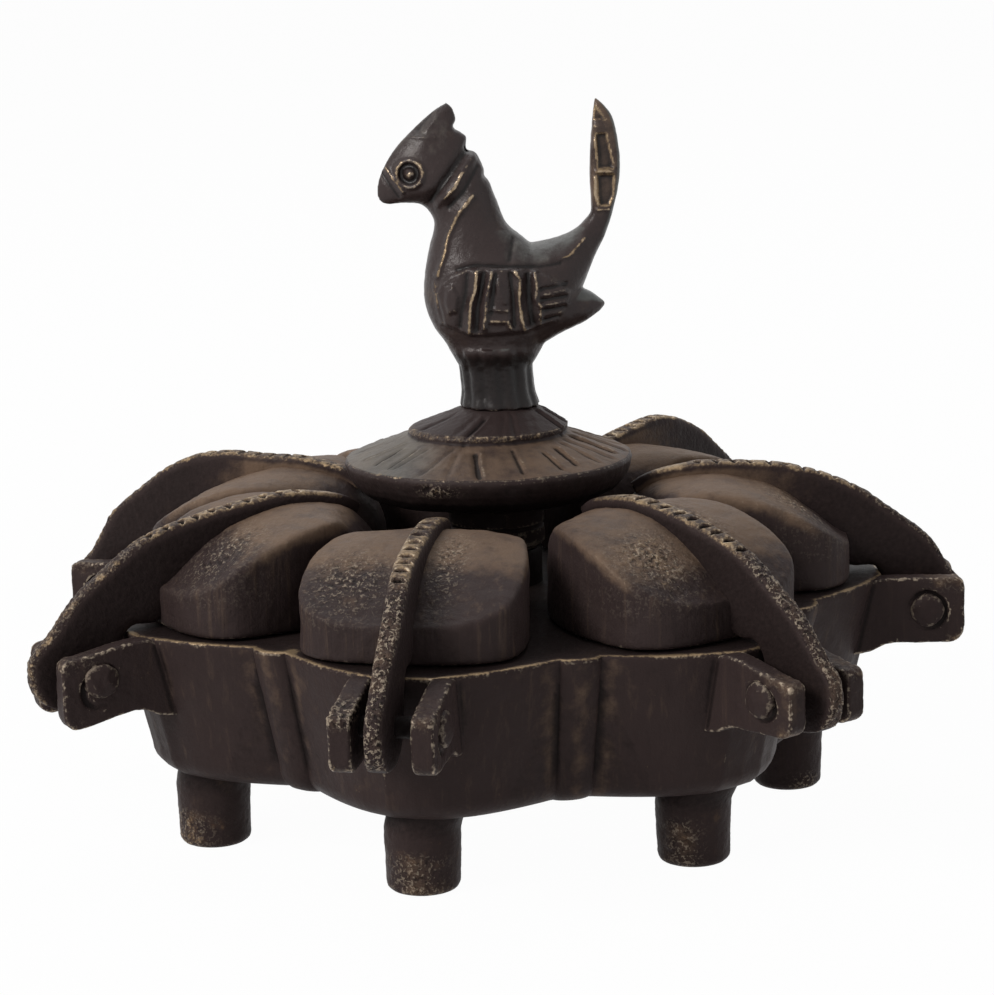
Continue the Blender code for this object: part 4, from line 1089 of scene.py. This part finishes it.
reliefs = {
    # outline, rise (below zero is sunk), softness of its edge
    "areas": [
        ([(-7.3, 82.6), (-6.6, 84.3), (-5.1, 85.5), (-2.5, 86.5), (4.5, 86.3), (7.4, 85.9), (10.8, 84.6),
          (13.4, 82.4), (13.4, 80.4), (10.9, 77.6), (6.3, 76.3), (-2.4, 76.0), (-6.2, 77.6)], 0.6, 0.6),
        ([(-4.9, 83.9), (-4.0, 82.3), (-4.4, 79.8), (-5.6, 79.4), (-6.1, 81.2), (-5.8, 83.2)], 0.5, 0.7),
        ([(18.0, 110.6), (19.6, 108.6), (18.0, 108.7)], -0.4, 0.4),
        ([(18.2, 106.4), (19.6, 106.4), (20.7, 101.1), (18.4, 101.1)], -0.55, 0.35),
        ([(18.2, 100.0), (20.7, 100.0), (20.5, 96.7), (19.9, 95.4), (18.5, 95.4)], -0.55, 0.35),
    ],
    # line, rise (below zero is cut in), half width, how bright it is: rubbing with painted glint
    "lines": [
        ([(-1.1, 86.0), (-1.3, 83.4), (-2.1, 81.2), (-2.5, 76.5)], 0.6, 0.36, 0.95),
        ([(1.3, 85.7), (0.5, 82.6), (0.2, 80.0), (-0.1, 77.2)], 0.6, 0.36, 0.75),
        ([(5.0, 85.8), (5.7, 84.7), (5.5, 81.3), (5.8, 78.3), (6.3, 76.8)], 0.6, 0.36, 0.85),
        ([(8.0, 85.5), (8.3, 83.1), (8.0, 81.6), (8.8, 80.3), (8.7, 77.5)], 0.55, 0.38, 0.6),
        ([(0.1, 85.8), (-0.5, 82.8), (-1.0, 80.2), (-1.3, 76.8)], -0.55, 0.5, 0),
        ([(-2.5, 85.6), (-2.8, 82.6), (-3.5, 79.8), (-3.8, 77.4)], -0.45, 0.5, 0),
        ([(4.2, 85.6), (4.5, 82.0), (4.6, 77.4)], -0.5, 0.42, 0),
        ([(1.9, 85.6), (1.4, 82.0), (1.1, 79.6)], -0.35, 0.35, 0),
        ([(6.9, 85.4), (7.0, 82.0), (7.4, 77.6)], -0.55, 0.6, 0),
        ([(2.2, 84.2), (2.5, 82.7), (3.3, 81.2)], 0.35, 0.5, 0.3),
        ([(0.6, 80.2), (3.6, 79.9)], 0.3, 0.3, 0.3),
        ([(1.1, 78.3), (3.5, 78.2), (4.2, 77.1)], 0.4, 0.38, 0.6),
        ([(8.8, 82.9), (12.9, 83.5)], -0.45, 0.32, 0), ([(8.8, 81.2), (12.9, 81.6)], -0.45, 0.32, 0),
        ([(9.0, 79.6), (12.6, 79.9)], -0.45, 0.32, 0), ([(9.0, 78.0), (11.6, 78.5)], -0.4, 0.3, 0),
        ([(9.0, 82.1), (12.6, 82.6)], 0.2, 0.3, 0.15), ([(9.0, 80.4), (12.6, 80.8)], 0.2, 0.3, 0.25),
        ([(-1.3, 97.6), (-3.5, 95.0), (-4.2, 93.8), (-5.4, 91.2), (-6.0, 88.6), (-7.2, 85.3)],
         0.5, 0.42, 0.75),
        ([(-7.7, 84.3), (-7.5, 82.1), (-7.2, 79.8), (-6.6, 77.9)], 0.25, 0.35, 0.3),
        ([(-3.5, 87.2), (-2.0, 87.6), (3.8, 87.2), (9.3, 87.0), (12.5, 87.8), (15.8, 90.1)], 0.22, 0.9, 0.0),
        ([(12.3, 87.5), (13.6, 87.9), (16.0, 90.4)], 0.25, 0.35, 0.7),
        ([(-4.0, 86.3), (-1.0, 87.0), (3.8, 86.6), (9.3, 86.3), (12.0, 86.7)], -0.3, 0.35, 0),
        ([(4.7, 90.6), (4.1, 87.6)], -0.5, 0.55, 0),
        ([(-15.0, 102.2), (-13.6, 100.2), (-12.2, 98.3)], 0.42, 0.28, 0.65),
        ([(-15.5, 101.2), (-14.2, 99.3), (-12.9, 97.5)], -0.35, 0.35, 0),
        ([(-10.8, 106.7), (-7.0, 106.6)], 0.25, 0.28, 0.3),
        ([(-7.6, 110.2), (-9.6, 107.8)], -0.3, 0.5, 0), ([(-6.6, 109.6), (-8.2, 107.6)], 0.2, 0.3, 0.2),
        ([(-1.2, 105.4), (-2.5, 104.1), (-5.1, 100.6), (-7.8, 96.9)], -0.8, 0.75, 0),
        ([(-0.9, 103.6), (-4.2, 99.4), (-6.9, 96.4)], 0.5, 0.8, 0.1),
        ([(-2.9, 101.1), (-4.0, 99.0), (-5.7, 97.2)], 0.35, 0.28, 0.9),
        ([(-0.6, 101.8), (-2.9, 98.0), (-5.0, 95.9)], -0.45, 0.5, 0),
        ([(17.9, 107.6), (20.2, 107.4)], 0.25, 0.5, 0.45), ([(18.0, 100.6), (20.9, 100.5)], 0.35, 0.26, 0.5),
        ([(18.2, 94.6), (20.0, 94.6)], 0.3, 0.3, 0.6), ([(17.9, 105.4), (18.1, 102.6)], 0.3, 0.3, 0.9),
        ([(17.9, 99.6), (17.8, 97.0), (18.2, 95.6)], 0.3, 0.3, 0.95),
    ],
    "eye": {"at": (-11.1, 101.1), "ring": 2.05, "dip": 1.25, "rise": 0.5, "pupil": 0.62},
    # x, z, radius and depth of the nicks down the nape and in the tail's root
    "nicks": [(-3.4, 108.2, 0.7, 0.7), (-1.6, 104.9, 0.8, 0.75), (0.9, 100.4, 0.7, 0.35),
              (-2.4, 106.4, 0.6, -0.25)],
}


def relief(thing):
    places, normals = getPoints(thing), getNormals(thing)
    flat = places[:, [0, 2]]
    side = softStep(0.25, 0.6, np.abs(normals[:, 1]))
    offset, wornAndGlint, shadeAndDirt = (np.zeros(len(places)) for _ in range(3))
    # raised edges and lines are rubbed bright with painted glint; sunk panels and cut-in lines get painted
    # shade with some dirt
    for outline, rise, soft in reliefs["areas"]:
        far = insideDistance(flat, outline)
        offset += rise * softStep(-soft / 2, soft / 2, far)
        wornAndGlint += (0.15 if rise > 0 else 0.8) * bell(far, -0.1, 0.3)
        if rise < 0:
            shadeAndDirt += 0.3 * softStep(-0.1, 0.4, far)
    for line, rise, half, rubAndGlint in reliefs["lines"]:
        far, _ = fromLine(flat, line)
        here = bell(far, 0, half)
        offset += rise * here
        wornAndGlint += rubAndGlint * bell(far, 0, half * 0.7)
        if rise < 0:
            shadeAndDirt += 0.48 * here ** 1.5
    eye = reliefs["eye"]
    far = np.hypot(*(flat - eye["at"]).T)
    ring, dip, pupil = bell(far, eye["ring"], 0.36), bell(far, eye["dip"], 0.45), bell(far, 0, eye["pupil"])
    offset += eye["rise"] * (ring + pupil - dip)
    # painted highlight on the ring's left and right arcs and on the pupil; painted shade in the dip round the
    # pupil
    flank = np.abs(flat[:, 0] - eye["at"][0]) / np.maximum(far, 0.1)
    wornAndGlint += ring * (0.1 + 0.55 * flank) + pupil * 0.5
    shadeAndDirt += dip * 0.95
    moved = places.copy()
    moved[:, 1] += np.sign(normals[:, 1]) * offset * side
    for x, z, radius, depth in reliefs["nicks"]:
        here = bell(flat[:, 0], x, radius) * bell(flat[:, 1], z, radius)
        moved -= normals * (here * depth * (normals[:, 0] > 0.1))[:, None]
    setPoints(thing, moved)
    x, z = flat.T
    stem, onTail = 1 - softStep(71.5, 73.5, z), softStep(93, 97, z) * (x > 15)
    # painted sheen: a pale grey on the tail's back bevel, the saddle, the vent's top and the brow
    bevel = softStep(0.35, 0.7, normals[:, 0]) * softStep(88, 93, z) * (x > 15)
    saddle = softStep(0.3, 0.75, normals[:, 2]) * (x > 1) * (z < 92)
    vent = softStep(0.2, 0.6, normals[:, 2]) * (x > 13.5) * (z < 84)
    brow = softStep(0.1, 0.5, normals[:, 2]) * (x < -5) * (z > 103)
    # the stem painted darker; faces that look up painted lighter brown, as painted light; the tail browner
    numbered(thing, wear=np.minimum(wornAndGlint, 1.0) * side * 0.95,
             sunk=np.minimum(shadeAndDirt * side + 0.08 + 0.7 * stem, 1.0),
             sheen=bevel * 0.9 + saddle * 0.55 + vent * 0.5 + brow * 0.3,
             brown=0.1 * softStep(0, 0.7, normals[:, 2]) + 0.05 + 0.4 * onTail)


relief(birdPiece)
modified(birdPiece, "SMOOTH", factor=0.5, iterations=1)
swung(birdPiece, bird["heading"])
roughened(birdPiece, 0.18, 2.4)
roughened(birdPiece, 0.10, 0.8)
ridged(birdPiece, 5, 0.12)
finished(birdPiece, "finial", "dark_bronze", "bird", "bird_finial")
print("bird made")

# the stud is the frame's own mesh, with the rivets' look
stud = frame["nodes"]["screw_stud"]
stud.data.materials.clear()
stud.data.materials.append(finishes["rivet"])


# floor, light and camera
studio = {
    "turn": math.radians(12.10), "tilt": math.radians(78.70), "roll": math.radians(-1.52),
    "camera": (0.1006, -0.4599, 0.1436), "lens": 109.45, "air": (0.23, 0.23, 0.235, 1),
    # each lamp's place in the camera's turn, size, watts and colour, and the point that all are aimed at
    "lit": (0, 0, 0.05),
    "keyWindow": ((-0.95, -0.60, 0.80), (0.55, 0.55), 12.6, (1.0, 0.98, 0.95)),
    "topSky": ((-0.05, 0.50, 1.05), (1.1, 0.8), 4.4, (0.93, 0.98, 1.0)),
    "rightFill": ((0.9, -0.5, 0.35), (0.5, 0.5), 0.15, (1, 1, 1)),
}

for name in ("keyWindow", "topSky", "rightFill"):
    place, (width, height), watts, colour = studio[name]
    light = bpy.data.lights.new(name, "AREA")
    light.shape, light.size, light.size_y = "RECTANGLE", width, height
    light.energy, light.color = watts, colour
    holder = bpy.data.objects.new(name, light)
    bpy.context.scene.collection.objects.link(holder)
    holder.location = Matrix.Rotation(studio["turn"], 3, "Z") @ Vector(place)
    holder.rotation_euler = (Vector(studio["lit"]) - holder.location).to_track_quat("-Z", "Y").to_euler()

bpy.ops.object.select_all(action="DESELECT")
bpy.ops.mesh.primitive_plane_add(size=40.0, location=(0, 0, 0))
floor = bpy.context.object
floor.name = "studioFloor"
f = Finish("paleFloor")
matt = f.node("BsdfDiffuse", {}, {"Color": (0.80, 0.80, 0.80, 1)})
glow = f.node("Emission", {}, {"Color": (1, 1, 1, 1), "Strength": 1.0})
pale = f.node("MixShader", {}, {0: f.straightRays() * 0.975, 1: matt, 2: glow})
floor.data.materials.append(f.output(pale))

scene = bpy.context.scene
f = Finish("studioAir", "worlds")
plain = f.node("Background", {}, {"Color": studio["air"]})
white = f.node("Background", {}, {"Color": (1, 1, 1, 1)})
scene.world = f.output(f.node("MixShader", {}, {0: f.straightRays(), 1: plain, 2: white}), "World")

camera = bpy.data.objects.new("camera", bpy.data.cameras.new("camera"))
scene.collection.objects.link(camera)
camera.location = studio["camera"]
turn, tilt, roll = (Matrix.Rotation(studio[name], 3, axis)
                    for name, axis in (("turn", "Z"), ("tilt", "X"), ("roll", "Z")))
camera.rotation_euler = (turn @ tilt @ roll).to_euler()
camera.data.lens, camera.data.sensor_width = studio["lens"], 36.0
camera.data.clip_start = 0.01
scene.camera = camera
scene.view_settings.view_transform = "Standard"

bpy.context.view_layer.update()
shown = [thing for thing in scene.objects if thing.type == "MESH" and not thing.hide_render]
print("triangles", sum(len(thing.data.polygons) * 2 for thing in shown))
